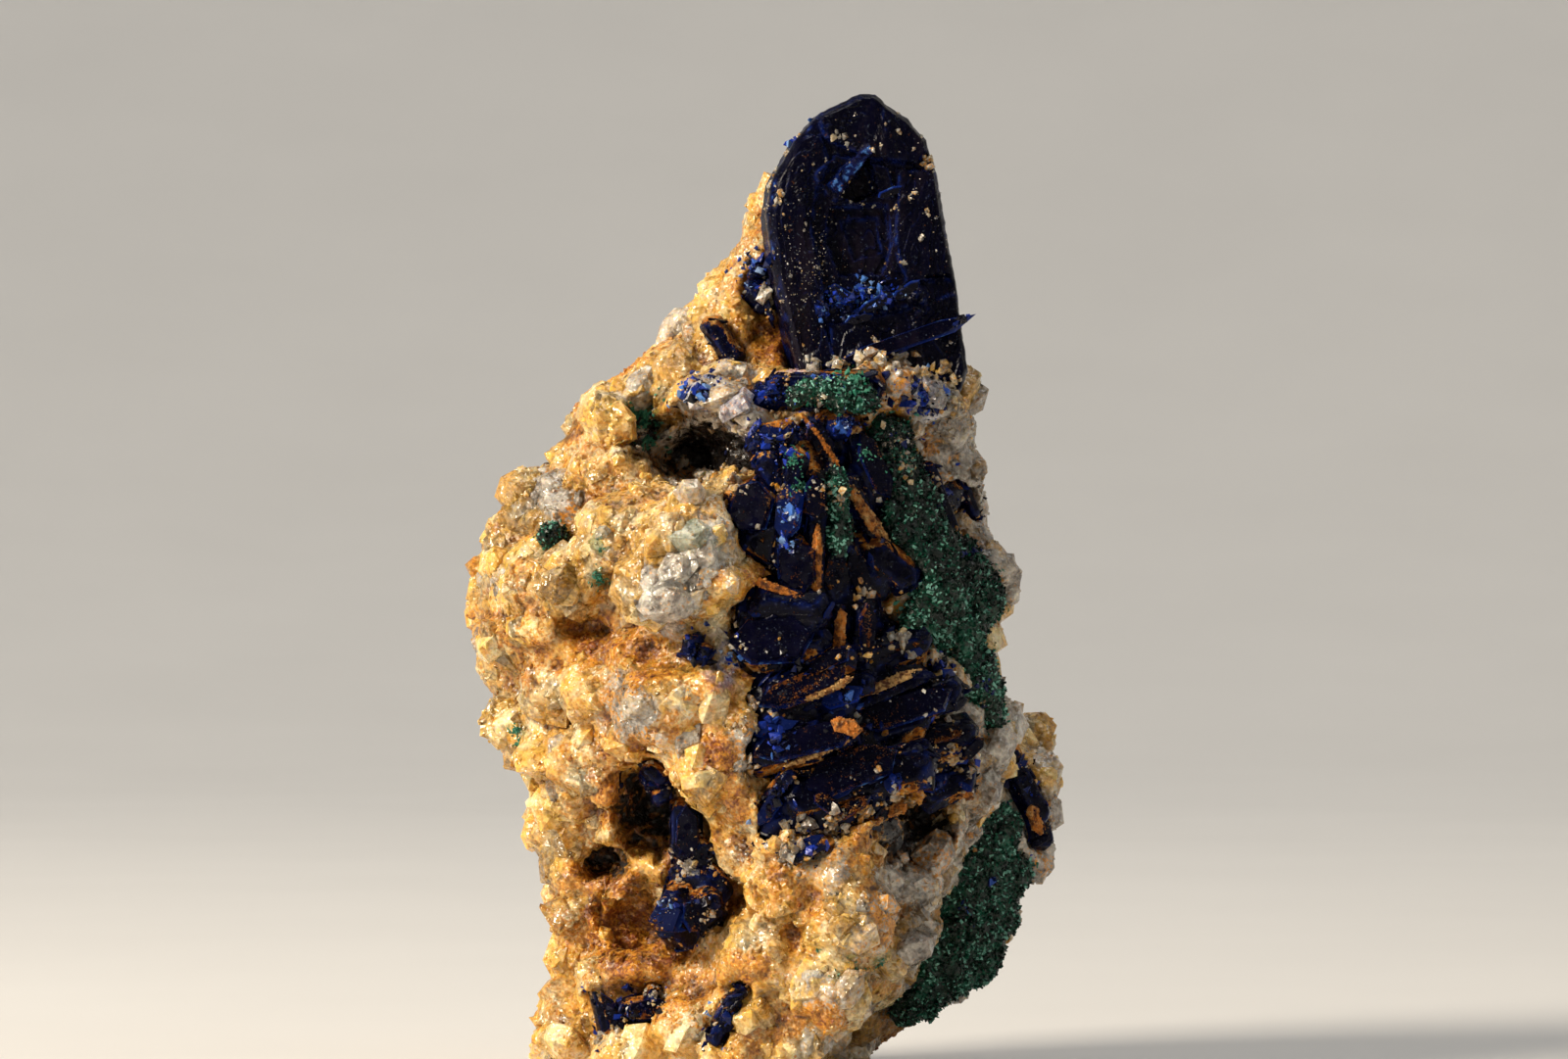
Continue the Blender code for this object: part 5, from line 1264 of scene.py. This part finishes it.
def crusted_groups(settings):
    """The smaller azurite groups with iron crust on their upward faces: mesh, corners, triangles and
    what colours them."""
    mesh, rim = refined(AZURITE_GROUPS, settings.bevel / MM, settings.facet / MM)
    corners, triangles, normals = mesh_arrays(mesh)
    upward = normals[:, 2] + 0.35 * soft_noise(corners, 0.9, 63.0)
    where = smooth_step(-0.25, 0.1, soft_noise(corners, (3.4, 3.4, 2.0), 71.0))
    crust = smooth_step(0.25, 0.65, upward) * where
    rise = 0.012 * soft_noise(corners, 0.5, 3.0) + 0.08 * crust
    corners = moved(mesh, normals * rise[:, None])
    mesh.set_sharp_from_angle(angle=math.radians(GROUP_SHARP))
    # painted reflection on the listed bright faces
    tone = 0.05 + 0.25 * soft_noise(corners, 2.5, 33.0) + patches(corners, PAINTED_LIGHT_AZURITE)
    values = {"rim": rim, "tone": tone, "crust": crust, "upright": is_upright(corners)}
    return mesh, corners, triangles, values


def small_plates(corners, triangles, count):
    """The small blades that grow on the groups."""
    rng = np.random.default_rng(SEEDS["plates"])
    place, normal, _ = spots_on(corners, triangles, count, rng)
    keep = place[:, 2] > PLATES_OFF_BASE
    place, normal = place[keep], normal[keep]
    count = len(place)
    long = 0.26 + 0.75 * rng.random(count) ** 2
    size = np.column_stack([long, long * rng.uniform(0.4, 0.9, count), long * rng.uniform(0.4, 1.0, count)])
    upright = is_upright(place)
    along = np.where(upright[:, None] > 0, STANDING_WAY, LYING_WAY)
    turns = standing_turns(normal, rng, 0.14, along=along)
    # a few plates are painted bright as glints, more where the listed faces have painted light
    tone = 0.6 * rng.random(count) ** 3 + 0.8 * patches(place, PAINTED_LIGHT_AZURITE)
    own = {"tone": tone, "rim": rng.uniform(0, 0.3, count), "crust": np.zeros(count), "upright": upright}
    shapes = [azurite_plate(seed) for seed in range(10)]
    return many(shapes, place - normal * (0.07 * long)[:, None], turns, size, own)


class AZURITE_OT_crystals(bpy.types.Operator):
    """Make the smaller azurite groups and the blades that grow on them"""

    bl_idname = "azurite.crystals"
    bl_label = "Azurite groups"

    def execute(self, context):
        settings, crusts = context.scene.azurite_crystals, context.scene.azurite_crusts
        material = azurite_material("azurite", settings, crusts, GROUP_GLOSS, GROUP_SPARKLE)
        mesh, corners, triangles, values = crusted_groups(settings)
        small = small_plates(corners, triangles, settings.plates)
        plates = stacked([front_blades(), small])
        groups = piece_of("azurite_groups", mesh, material, smooth=True, values=values)
        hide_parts(*AZURITE_GROUPS)
        crystals_of("azurite_plates", plates, material)
        return {"FINISHED"}


# ------------------------------------------------------------------ what grows on the front
CRUMBS_PER_MM = 48  # crumbs on each millimetre of an ochre lath
FRONT_TO = 8.0  # tiny crystals keep in front of this depth
SCATTER = 0.62  # how widely spots lie round a patch's middle, as a share of its radius
FURTHEST = 1.5  # the radius inside which they all lie, as a share of the same
BORDER_COUNT = 1300  # tiny crystals on the rock beside the larger ones
DRUSE_REACH, TUFT_REACH, CRUMB_REACH = 1.3, 1.2, 0.9  # how far from the larger ones they still lie


def dressed_tree():
    """A tree of the finished skins, in millimetres, for setting small crystals on them."""
    names = ("rock", "great_blade", "azurite_groups", "azurite_plates", "malachite_crusts")
    return tree_of(*joined([skin_of(bpy.data.objects[name]) for name in names]))


def front_spots(tree, rows, rng):
    """Spots on the front inside round patches: place, normal and the row each belongs to. A row
    starts with across, height, radius and how many."""
    places, normals, owners = [], [], []
    for i, (across, height, radius, count, *_) in enumerate(rows):
        for _ in range(count):
            far, angle = radius * min(abs(rng.normal(0, SCATTER)), FURTHEST), rng.uniform(0, math.tau)
            place, normal = first_met(tree, across + far * math.cos(angle), height + far * math.sin(angle))
            if place is not None and place.y < FRONT_TO:
                places.append(place[:])
                normals.append(normal[:])
                owners.append(i)
    return np.array(places), np.array(normals), np.array(owners)


def border_spots(piece, nodes, reach, count, rng):
    """Spots on a piece beside some CAD nodes, more of them the nearer they are: place and normal."""
    skin, faces = skin_of(bpy.data.objects[piece])
    tree = tree_of(*node_arrays(*nodes))
    weight = np.zeros(len(faces))
    for i, middle in enumerate(skin[faces].mean(axis=1).tolist()):
        spot, way, _, far = tree.find_nearest(middle, reach)
        if far is not None and (Vector(middle) - spot).dot(way) > 0 and middle[2] > OFF_BASE:
            weight[i] = (1 - far / reach) ** 1.5
    return spots_on(skin, faces, count, rng, weight=weight)[:2]


def growing_spots(rows, nodes, reach, rng):
    """Spots for tiny crystals, in patches on the front and on the rock beside some CAD nodes: place,
    normal and the row of each spot in a patch, which come first."""
    place, normal, owner = front_spots(dressed_tree(), rows, rng)
    border, way = border_spots("rock", nodes, reach, BORDER_COUNT, rng)
    return np.concatenate([place, border]), np.concatenate([normal, way]), owner


def cloudy_spots(piece, count, size, shift, rng):
    """Spots on a piece that gather in clouds of this size."""
    skin, faces = skin_of(bpy.data.objects[piece])
    clouds = soft_noise(skin[faces].mean(axis=1), size, shift)
    weight = 0.01 + smooth_step(0.2, 0.5, clouds)
    return spots_on(skin, faces, count, rng, weight=weight)[0]


def on_blade(places):
    """How far inside the great blade's outline each place lies, seen from the front."""
    return inside_distance(places[:, [0, 2]] - (BLADE_FOOT.x, BLADE_FOOT.z), BLADE_OUTLINE)


# Crumbs of quartz heaped over the blade's foot and by the dark blades: across, height, radius, how
# many, how big and how stained.
FOOT_CRUMBS = [
    (6.4, 51.6, 0.9, 26, 0.34, 0.05), (8.0, 51.9, 0.9, 26, 0.32, 0.10), (9.6, 52.0, 0.9, 26, 0.36, 0.05),
    (11.2, 52.1, 0.9, 30, 0.40, 0.05), (12.6, 51.8, 0.9, 30, 0.42, 0.05), (14.0, 51.0, 1.0, 30, 0.40, 0.10),
    (15.8, 50.4, 1.1, 40, 0.34, 0.05), (16.8, 48.6, 1.1, 40, 0.34, 0.15), (15.8, 51.6, 0.5, 16, 0.28, 0.05),
    (12.3, 46.4, 1.3, 60, 0.24, 0.05), (12.9, 44.6, 0.9, 30, 0.20, 0.20), (6.6, 49.0, 0.5, 16, 0.24, 0.20),
    (7.0, 43.0, 0.7, 24, 0.20, 0.15), (8.0, 42.3, 0.6, 20, 0.20, 0.30), (4.0, 42.8, 0.8, 24, 0.22, 0.35),
    (9.6, 35.6, 0.8, 30, 0.22, 0.45), (-2.6, 16.0, 0.8, 40, 0.20, 0.00), (-3.2, 15.2, 0.5, 20, 0.18, 0.05),
    (-1.0, 13.0, 0.7, 24, 0.18, 0.05), (-4.4, 7.0, 0.9, 40, 0.18, 0.05), (-7.6, 4.4, 0.7, 24, 0.18, 0.05),
    (1.8, 17.4, 1.0, 30, 0.18, 0.10), (1.4, 32.0, 0.8, 16, 0.16, 0.10), (1.2, 26.4, 0.9, 26, 0.26, 0.20),
    (1.0, 43.4, 0.9, 30, 0.30, 0.10), (16.0, 24.4, 1.0, 30, 0.24, 0.35), (10.0, 31.2, 1.0, 24, 0.24, 0.45),
    (2.9, 56.9, 0.35, 8, 0.5, -0.3),
    (12.5, 32.3, 1.3, 26, 0.34, 0.0), (16.2, 23.4, 1.6, 26, 0.26, 0.2), (-9.0, 3.6, 0.6, 24, 0.16, -0.2),
    (-5.0, 6.8, 0.9, 60, 0.16, -0.2), (-2.6, 16.4, 0.7, 40, 0.20, -0.2), (4.2, 17.4, 1.2, 40, 0.30, 0.1),
    (-0.6, 48.5, 1.5, 26, 0.50, -0.2), (-2.6, 48.8, 1.1, 16, 0.45, -0.1), (1.0, 48.1, 0.9, 14, 0.50, -0.2),
    (5.2, 19.2, 1.0, 20, 0.40, 0.1), (7.4, 19.6, 1.1, 20, 0.40, 0.2), (9.8, 20.2, 1.1, 20, 0.36, 0.5),
    (12.4, 21.2, 1.2, 20, 0.34, 0.3), (1.9, 23.2, 0.9, 20, 0.36, 0.3), (2.2, 27.6, 0.9, 20, 0.34, 0.2),
]  # fmt: skip
# Crumbs of quartz and limonite on the great blade: across, up, radius and how stained.
BLADE_CRUMBS = [
    (-2.0, 16.9, 0.55, 0.15), (-1.5, 16.3, 0.30, 0.15), (2.2, 17.4, 0.26, 0.10), (2.2, 18.7, 0.20, 0.10),
    (1.0, 16.35, 0.18, 0.2), (0.3, 15.9, 0.24, 0.2), (3.3, 16.1, 0.20, 0.3), (4.5, 15.4, 0.50, 0.25),
    (3.8, 17.0, 0.28, 0.1), (-4.9, 17.2, 0.22, 0.1), (-5.8, 15.9, 0.34, 0.1), (-6.6, 14.7, 0.24, 0.1),
    (-6.2, 12.8, 0.50, 0.5), (-6.5, 12.2, 0.35, 0.6), (3.4, 12.9, 0.36, 0.35), (3.0, 12.4, 0.26, 0.35),
    (2.1, 11.9, 0.22, 0.0), (0.4, 12.0, 0.22, 0.0), (4.3, 11.6, 0.32, 0.2), (3.8, 9.6, 0.26, 0.2),
    (2.6, 7.9, 0.36, 0.35), (-6.1, 5.1, 0.22, 0.3), (0.5, 2.35, 0.34, 0.1), (1.8, 2.9, 0.18, 0.1),
    (-1.2, 12.3, 0.2, 0.3), (-0.4, 12.1, 0.18, 0.3), (-1.9, 12.6, 0.16, 0.3), (-3.9, 14.9, 0.2, 0.1),
    (-3.0, 15.3, 0.16, 0.1), (4.9, 11.2, 0.22, 0.2), (-5.5, 6.9, 0.16, 0.3), (-5.0, 2.9, 0.18, 0.3),
    (-7.0, 13.4, 0.34, 0.1), (-7.2, 11.9, 0.28, 0.1), (-6.7, 8.6, 0.20, 0.2), (4.3, 15.0, 0.55, 0.4),
    (-0.9, 18.6, 0.14, 0.1), (5.2, 13.0, 0.16, 0.1), (-5.9, 10.4, 0.14, 0.1), (5.9, 2.2, 0.3, 0.1),
]  # fmt: skip


class AZURITE_OT_druse(bpy.types.Operator):
    """Set the tiny blue crystals on the front"""

    bl_idname = "azurite.druse"
    bl_label = "Blue druse"

    def execute(self, context):
        rng = np.random.default_rng(SEEDS["druse"])
        place, normal, owner = growing_spots(BLUE_DRUSE, AZURITE_GROUPS, DRUSE_REACH, rng)
        count = len(place)
        pale = np.array([row[4] for row in BLUE_DRUSE])[owner]
        pale = np.concatenate([pale, rng.uniform(0.15, 0.75, count - len(owner))])
        radius = 0.07 + 0.34 * rng.random(count) ** 2.3
        finer = (on_blade(place) > 0.3) & (place[:, 2] > BLADE_FOOT.z)
        radius = np.where(finer, 0.75 * radius, radius)
        size = radius[:, None] * rng.uniform(0.5, 1.6, size=(count, 3))
        shapes = [azurite_plate(seed) for seed in range(3)] + pebbles(range(6), 7, 0.3)
        values = {"tone": pale + rng.uniform(-0.60, 0.24, count)}
        tiny = many(shapes, place - normal * (0.3 * radius)[:, None], any_turns(count, rng), size, values)
        crystals_of("azurite_druse", tiny, druse_material(context.scene.azurite_crystals))
        return {"FINISHED"}


NEEDLES = range(10)  # the seeds of the green crystals' shapes
COARSE_FROM = 1.0  # tufts in patches wider than this are coarse


class AZURITE_OT_tufts(bpy.types.Operator):
    """Set the tufts of tiny green crystals on the rock"""

    bl_idname = "azurite.tufts"
    bl_label = "Green tufts"

    def execute(self, context):
        rng = np.random.default_rng(SEEDS["tufts"])
        nodes = MALACHITE_CRUSTS + MALACHITE_PARTS
        place, normal, owner = growing_spots(GREEN_TUFTS, nodes, TUFT_REACH, rng)
        count = len(place)
        coarse = np.array([row[2] > COARSE_FROM for row in GREEN_TUFTS])[owner]
        coarse = np.concatenate([coarse, rng.random(count - len(owner)) < 0.3])
        size = rng.uniform(0.10, 0.26, size=(count, 3)) * np.where(coarse, 1.7, 1.0)[:, None]
        values = {"tone": 0.1 + 0.8 * rng.random(count) ** 1.5}
        turns = standing_turns(normal, rng, 0.7)
        tiny = many([needle(seed) for seed in NEEDLES], place, turns, size, values)
        crystals_of("malachite_tufts", tiny, bpy.data.materials["malachite"])
        return {"FINISHED"}


class AZURITE_OT_laths(bpy.types.Operator):
    """Make the crumbly laths of iron crust between the azurite blades"""

    bl_idname = "azurite.laths"
    bl_label = "Ochre laths"

    def execute(self, context):
        tree = dressed_tree()
        rng = np.random.default_rng(SEEDS["laths"])
        shapes = pebbles(range(160, 168), 8, 0.25)
        parts = []
        for i, (x, z, long, wide, thick, turn, tilt, yaw, pale) in enumerate(OCHRE_BLADES):
            y = first_met(tree, x, z)[0].y + 0.1 * thick
            row = (x, y, z, long, 0.8 * wide, 0.6 * thick, turn, tilt, yaw)
            (corners, faces, _), = blade_rows([row], PLATE_SEEDS["laths"] + i)
            parts.append((corners, faces, {"tone": np.full(len(corners), pale)}))
            place, _, _ = spots_on(corners, faces, int(CRUMBS_PER_MM * long), rng)
            radius = 0.04 + 0.12 * rng.random(len(place)) ** 1.8
            own = {"tone": pale + rng.uniform(-0.4, 0.4, len(place))}
            parts.append(many(shapes, place, any_turns(len(place), rng), radius, own))
        material = limonite_material(context.scene.azurite_crusts)
        crystals_of("ochre_laths", stacked(parts), material)
        return {"FINISHED"}


HEAP_CRUMBS = 9  # crumbs in each small heap on the great blade


def heaped_crumbs(tree, rng):
    """Places, radii and stains of the crumbs that lie in heaps, on the blade and below it."""
    foot = BLADE_FOOT
    heaps = [
        (foot.x + across, foot.z + up, 0.8 * radius, HEAP_CRUMBS, 0.5 * radius, 0.4 * stain)
        for across, up, radius, stain in BLADE_CRUMBS
    ]
    heaps += FOOT_CRUMBS
    place, _, owner = front_spots(tree, heaps, rng)
    radius = np.array([row[4] for row in heaps])[owner] * (0.28 + 1.35 * rng.random(len(place)) ** 2.2)
    stain = np.array([row[5] for row in heaps])[owner] + rng.uniform(-0.2, 0.25, len(place))
    return place, radius, stain


def blade_specks(tree, count, rng):
    """Places of the tiny grains on the great blade's face, most of them down its left."""
    foot = BLADE_FOOT
    down_left, high_right = (foot.x - 3.6, foot.z + 7.5, 7.5, count), (foot.x + 1.5, foot.z + 12, 6, 60)
    place, _, _ = front_spots(tree, [down_left, high_right], rng)
    left = place[:, 0] < foot.x - 3.0
    return place[(on_blade(place) > 0.1) & (left | (rng.random(len(place)) < 0.3))]


# Crumbs strewn singly: least radius, how much larger they come, and how rare the large ones are.
STREWN = {
    "specks": (0.03, 0.05, 1.0),
    "on azurite": (0.05, 0.24, 2.6),
    "beside rock": (0.09, 0.34, 2.5),
    "on blade": (0.05, 0.16, 3.0),
}
# How stained they are, from and to. The specks are clean.
STREWN_STAIN = {"on azurite": (-0.1, 0.9), "beside rock": (-0.2, 0.7), "on blade": (-0.2, 0.4)}
# How many lie on the small plates, on the great blade, and on each piece beside the rock.
PLATE_CRUMBS = 420
BLADE_STREWN = 170
ROCKSIDE_CRUMBS = {"azurite_groups": 600, "malachite_crusts": 300}


class AZURITE_OT_crumbs(bpy.types.Operator):
    """Scatter the crumbs of quartz and limonite over the crystals"""

    bl_idname = "azurite.crumbs"
    bl_label = "Crumbs"

    def execute(self, context):
        settings = context.scene.azurite_crystals
        rng = np.random.default_rng(SEEDS["crumbs"])
        tree = dressed_tree()
        place, radius, stain = heaped_crumbs(tree, rng)
        specks = blade_specks(tree, settings.specks, rng)
        on_groups = cloudy_spots("azurite_groups", settings.crumbs, 1.3, 91.0, rng)
        rockside = ROCKSIDE_CRUMBS.items()
        beside = [border_spots(name, ["matrix"], CRUMB_REACH, count, rng)[0] for name, count in rockside]
        on_plates = cloudy_spots("azurite_plates", PLATE_CRUMBS, 1.1, 95.0, rng)
        around = spots_on(*skin_of(bpy.data.objects["great_blade"]), BLADE_STREWN, rng)[0]
        places = {
            "specks": specks,
            "on azurite": np.concatenate([on_groups, on_plates]),
            "beside rock": np.concatenate(beside),
            "on blade": around[around[:, 2] > BLADE_FOOT.z + 1],
        }
        radii = [
            least + more * rng.random(len(places[key])) ** rarity
            for key, (least, more, rarity) in STREWN.items()
        ]
        stains = [rng.uniform(*span, len(places[key])) for key, span in STREWN_STAIN.items()]
        place = np.concatenate([place, *places.values()])
        radius = np.concatenate([radius, *radii])
        stain = np.concatenate([stain, np.zeros(len(specks)), *stains])
        count = len(place)
        size = radius[:, None] * rng.uniform(0.65, 1.35, size=(count, 3))
        values = {"tone": rng.uniform(0.2, 0.9, count), "stain": stain, "grey": rng.uniform(0.4, 1.2, count)}
        values |= {label: np.zeros(count) for label in ("blue", "green", "dark")}
        shapes = pebbles(range(140, 150), 9, 0.32, 0.8) + [quartz_point(seed) for seed in range(140, 144)]
        tiny = many(shapes, place, any_turns(count, rng), size, values)
        crystals_of("crumbs", tiny, bpy.data.materials["quartz and limonite"])
        return {"FINISHED"}


# ------------------------------------------------------------------ malachite
BUMPS = 900  # rounded bumps that grow together with the crusts
CRUST_SQUARES = 0.32  # size of the squares of the crusts' skin


class AZURITE_OT_malachite(bpy.types.Operator):
    """Make the malachite crusts with their tiny crystals"""

    bl_idname = "azurite.malachite"
    bl_label = "Malachite"

    def execute(self, context):
        settings = context.scene.azurite_crusts
        material = malachite_material(settings)
        nodes = MALACHITE_CRUSTS + MALACHITE_PARTS
        rng = np.random.default_rng(SEEDS["malachite"])
        corners, triangles = node_arrays(*nodes)
        place, normal, _ = spots_on(corners, triangles, BUMPS, rng)
        radius = rng.uniform(0.3, 0.75, len(place))
        middles = place - normal * 0.2 * radius[:, None]
        bumps = many(pebbles(range(90, 96), 12, 0.2), middles, any_turns(len(place), rng), radius, {})
        mesh = remeshed("malachite", *joined([(corners, triangles), bumps]), CRUST_SQUARES)
        skin, faces, normals = mesh_arrays(mesh)
        skin = moved(mesh, normals * (0.12 * soft_noise(skin, 0.5, 2.0))[:, None])
        low = smooth_step(40.0, 30.0, skin[:, 2])
        teal = patches(skin, TEAL_MALACHITE)
        tone = 0.12 + 0.42 * soft_noise(skin, 1.2, 14.0) + 0.20 * low + 0.25 * teal
        place, normal, picked = spots_on(skin, faces, settings.crystals, rng)
        size = np.column_stack([rng.uniform(0.11, 0.34, len(place)) for _ in range(3)])
        shine = (0.9 * tone + 0.55 * teal)[faces[picked]].mean(axis=1)
        own = {"tone": shine - 0.14 + 1.15 * rng.random(len(place)) ** 2.0}
        turns = standing_turns(normal, rng, 0.6)
        tiny = many([needle(seed) for seed in NEEDLES], place, turns, size, own)
        crusts = piece_of("malachite_crusts", mesh, material, smooth=True, values={"tone": tone})
        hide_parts(*nodes)
        crystals_of("malachite_crystals", tiny, material)
        return {"FINISHED"}


# ------------------------------------------------------------------ the stage
CAMERA_PLACE = (4.2, -426.0, 40.0)
CAMERA_LENS = 135.0
SENSOR_WIDTH = 36.0
AIM = Vector((3.0, 0.0, 36.0))
EYE_LEVEL = math.radians(90)
NEAR_CLIP, FAR_CLIP = 0.01, 10.0  # in metres
WHITE = (1.0, 1.0, 1.0)
PAPER_LIGHT = (1.0, 0.99, 0.97)
BACKDROP_AIM = Vector((0, 1000, 0))
# The backdrop: corners round it, steps of its sweep, the degrees that the sweep turns through, its
# radius as a share of the floor's, and where the floor's inner rings lie.
FLOOR_TURNS = 96
SWEEP_STEPS = 24
SWEEP_TURN = 90.0
SWEEP_SHARE = 0.7
INNER_RINGS = (0.04, 0.1, 0.2)


def soft_light(name, azimuth, elevation, far, size, power, tint, aim=AIM):
    """A square soft light round the specimen. Azimuth 0 is at the viewer and 90 on the right, and far
    and size are in metres."""
    light = bpy.data.lights.new(name, "AREA")
    light.shape = "SQUARE"
    light.size = size
    light.energy = power
    light.color = tint
    a, e = math.radians(azimuth), math.radians(elevation)
    way = Vector((math.sin(a) * math.cos(e), -math.cos(a) * math.cos(e), math.sin(e)))
    obj = bpy.data.objects.new(name, light)
    obj.location = AIM * MM + way * far
    obj.rotation_euler = (aim * MM - obj.location).to_track_quat("-Z", "Y").to_euler()
    bpy.context.scene.collection.objects.link(obj)


def paper_material(tint):
    """Warm white paper, very slightly clouded."""
    r = Recipe("paper")
    body = r.tint(tint, r.cloud(60.0, 2.0), 0.3, 0.7, tuple(0.97 * c for c in tint))
    return r.finish(Base_Color=body, Roughness=0.9, Normal=r.bump(r.cloud(0.6, 3.0), 0.02, 0.3))


def round_backdrop(reach, material):
    """A round floor whose rim sweeps up into a wall all the way round."""
    bend = SWEEP_SHARE * reach
    profile = [(reach * share, 0.0) for share in INNER_RINGS]
    for i in range(SWEEP_STEPS + 1):
        angle = math.radians(SWEEP_TURN) * i / SWEEP_STEPS
        profile.append((reach - bend + bend * math.sin(angle), bend * (1 - math.cos(angle))))
    profile.append((reach, reach))
    solid = bmesh.new()
    heart = solid.verts.new((0, 0, 0))
    angles = [math.tau * i / FLOOR_TURNS for i in range(FLOOR_TURNS)]
    rings = []
    for far, high in profile:
        rings.append([solid.verts.new((far * math.cos(a), far * math.sin(a), high)) for a in angles])
    for i in range(FLOOR_TURNS):
        j = (i + 1) % FLOOR_TURNS
        solid.faces.new((heart, rings[0][i], rings[0][j]))
        for low, high in zip(rings, rings[1:]):
            solid.faces.new((low[i], high[i], high[j], low[j]))
    mesh = bpy.data.meshes.new("backdrop")
    solid.to_mesh(mesh)
    solid.free()
    mesh.polygons.foreach_set("use_smooth", [True] * len(mesh.polygons))
    mesh.materials.append(material)
    obj = bpy.data.objects.new("backdrop", mesh)
    bpy.context.scene.collection.objects.link(obj)


class AZURITE_OT_stage(bpy.types.Operator):
    """Set the floor, the soft lights and the camera"""

    bl_idname = "azurite.stage"
    bl_label = "Stage"

    def execute(self, context):
        scene, settings = context.scene, context.scene.azurite_stage
        round_backdrop(settings.reach, paper_material(tuple(settings.paper)))
        soft_light("key", -60, 30, 0.62, 0.20, settings.key, settings.key_colour)
        soft_light("fill", 75, 30, 0.70, 0.45, settings.fill, WHITE)
        soft_light("back", 180, 78, 1.05, 0.90, settings.back, PAPER_LIGHT, BACKDROP_AIM)
        world = bpy.data.worlds.new("surround")
        world.use_nodes = True
        background = world.node_tree.nodes["Background"]
        background.inputs["Color"].default_value = (*WHITE, 1.0)
        background.inputs["Strength"].default_value = settings.surround
        scene.world = world
        camera = bpy.data.cameras.new("camera")
        camera.lens = CAMERA_LENS
        camera.sensor_width = SENSOR_WIDTH
        camera.clip_start = NEAR_CLIP
        camera.clip_end = FAR_CLIP
        viewer = bpy.data.objects.new("camera", camera)
        viewer.location = Vector(CAMERA_PLACE) * MM
        viewer.rotation_euler = (EYE_LEVEL, 0, 0)
        scene.collection.objects.link(viewer)
        scene.camera = viewer
        scene.view_settings.view_transform = "Standard"
        return {"FINISHED"}


# ------------------------------------------------------------------ the add-on
# In the order that they run in: what grows on a skin comes after it.
OPERATORS = [
    AZURITE_OT_rock, AZURITE_OT_blade, AZURITE_OT_crystals, AZURITE_OT_malachite, AZURITE_OT_laths,
    AZURITE_OT_druse, AZURITE_OT_tufts, AZURITE_OT_crumbs, AZURITE_OT_stage,
]  # fmt: skip
SETTINGS = {
    "azurite_rock": AzuriteRockSettings,
    "azurite_crystals": AzuriteCrystalSettings,
    "azurite_crusts": AzuriteCrustSettings,
    "azurite_stage": AzuriteStageSettings,
}


class AZURITE_PT_panel(bpy.types.Panel):
    """The specimen's sizes and colours, and the buttons that make its pieces"""

    bl_label = "Azurite specimen"
    bl_idname = "AZURITE_PT_panel"
    bl_space_type = "VIEW_3D"
    bl_region_type = "UI"
    bl_category = "Azurite"

    def draw(self, context):
        for name, settings in SETTINGS.items():
            box = self.layout.box()
            for key in settings.__annotations__:
                box.prop(getattr(context.scene, name), key)
        for operator in OPERATORS:
            self.layout.operator(operator.bl_idname)


CLASSES = [*SETTINGS.values(), *OPERATORS, AZURITE_PT_panel]


def register():
    """Makes the settings, buttons and panel known to Blender."""
    for cls in CLASSES:
        bpy.utils.register_class(cls)
    for name, settings in SETTINGS.items():
        setattr(bpy.types.Scene, name, PointerProperty(type=settings))


def unregister():
    """Takes them away again."""
    for name in SETTINGS:
        delattr(bpy.types.Scene, name)
    for cls in reversed(CLASSES):
        bpy.utils.unregister_class(cls)


def main():
    """Makes every piece and the stage."""
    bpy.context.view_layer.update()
    register()
    for operator in OPERATORS:
        group, action = operator.bl_idname.split(".")
        getattr(getattr(bpy.ops, group), action)()


if __name__ == "__main__":
    main()
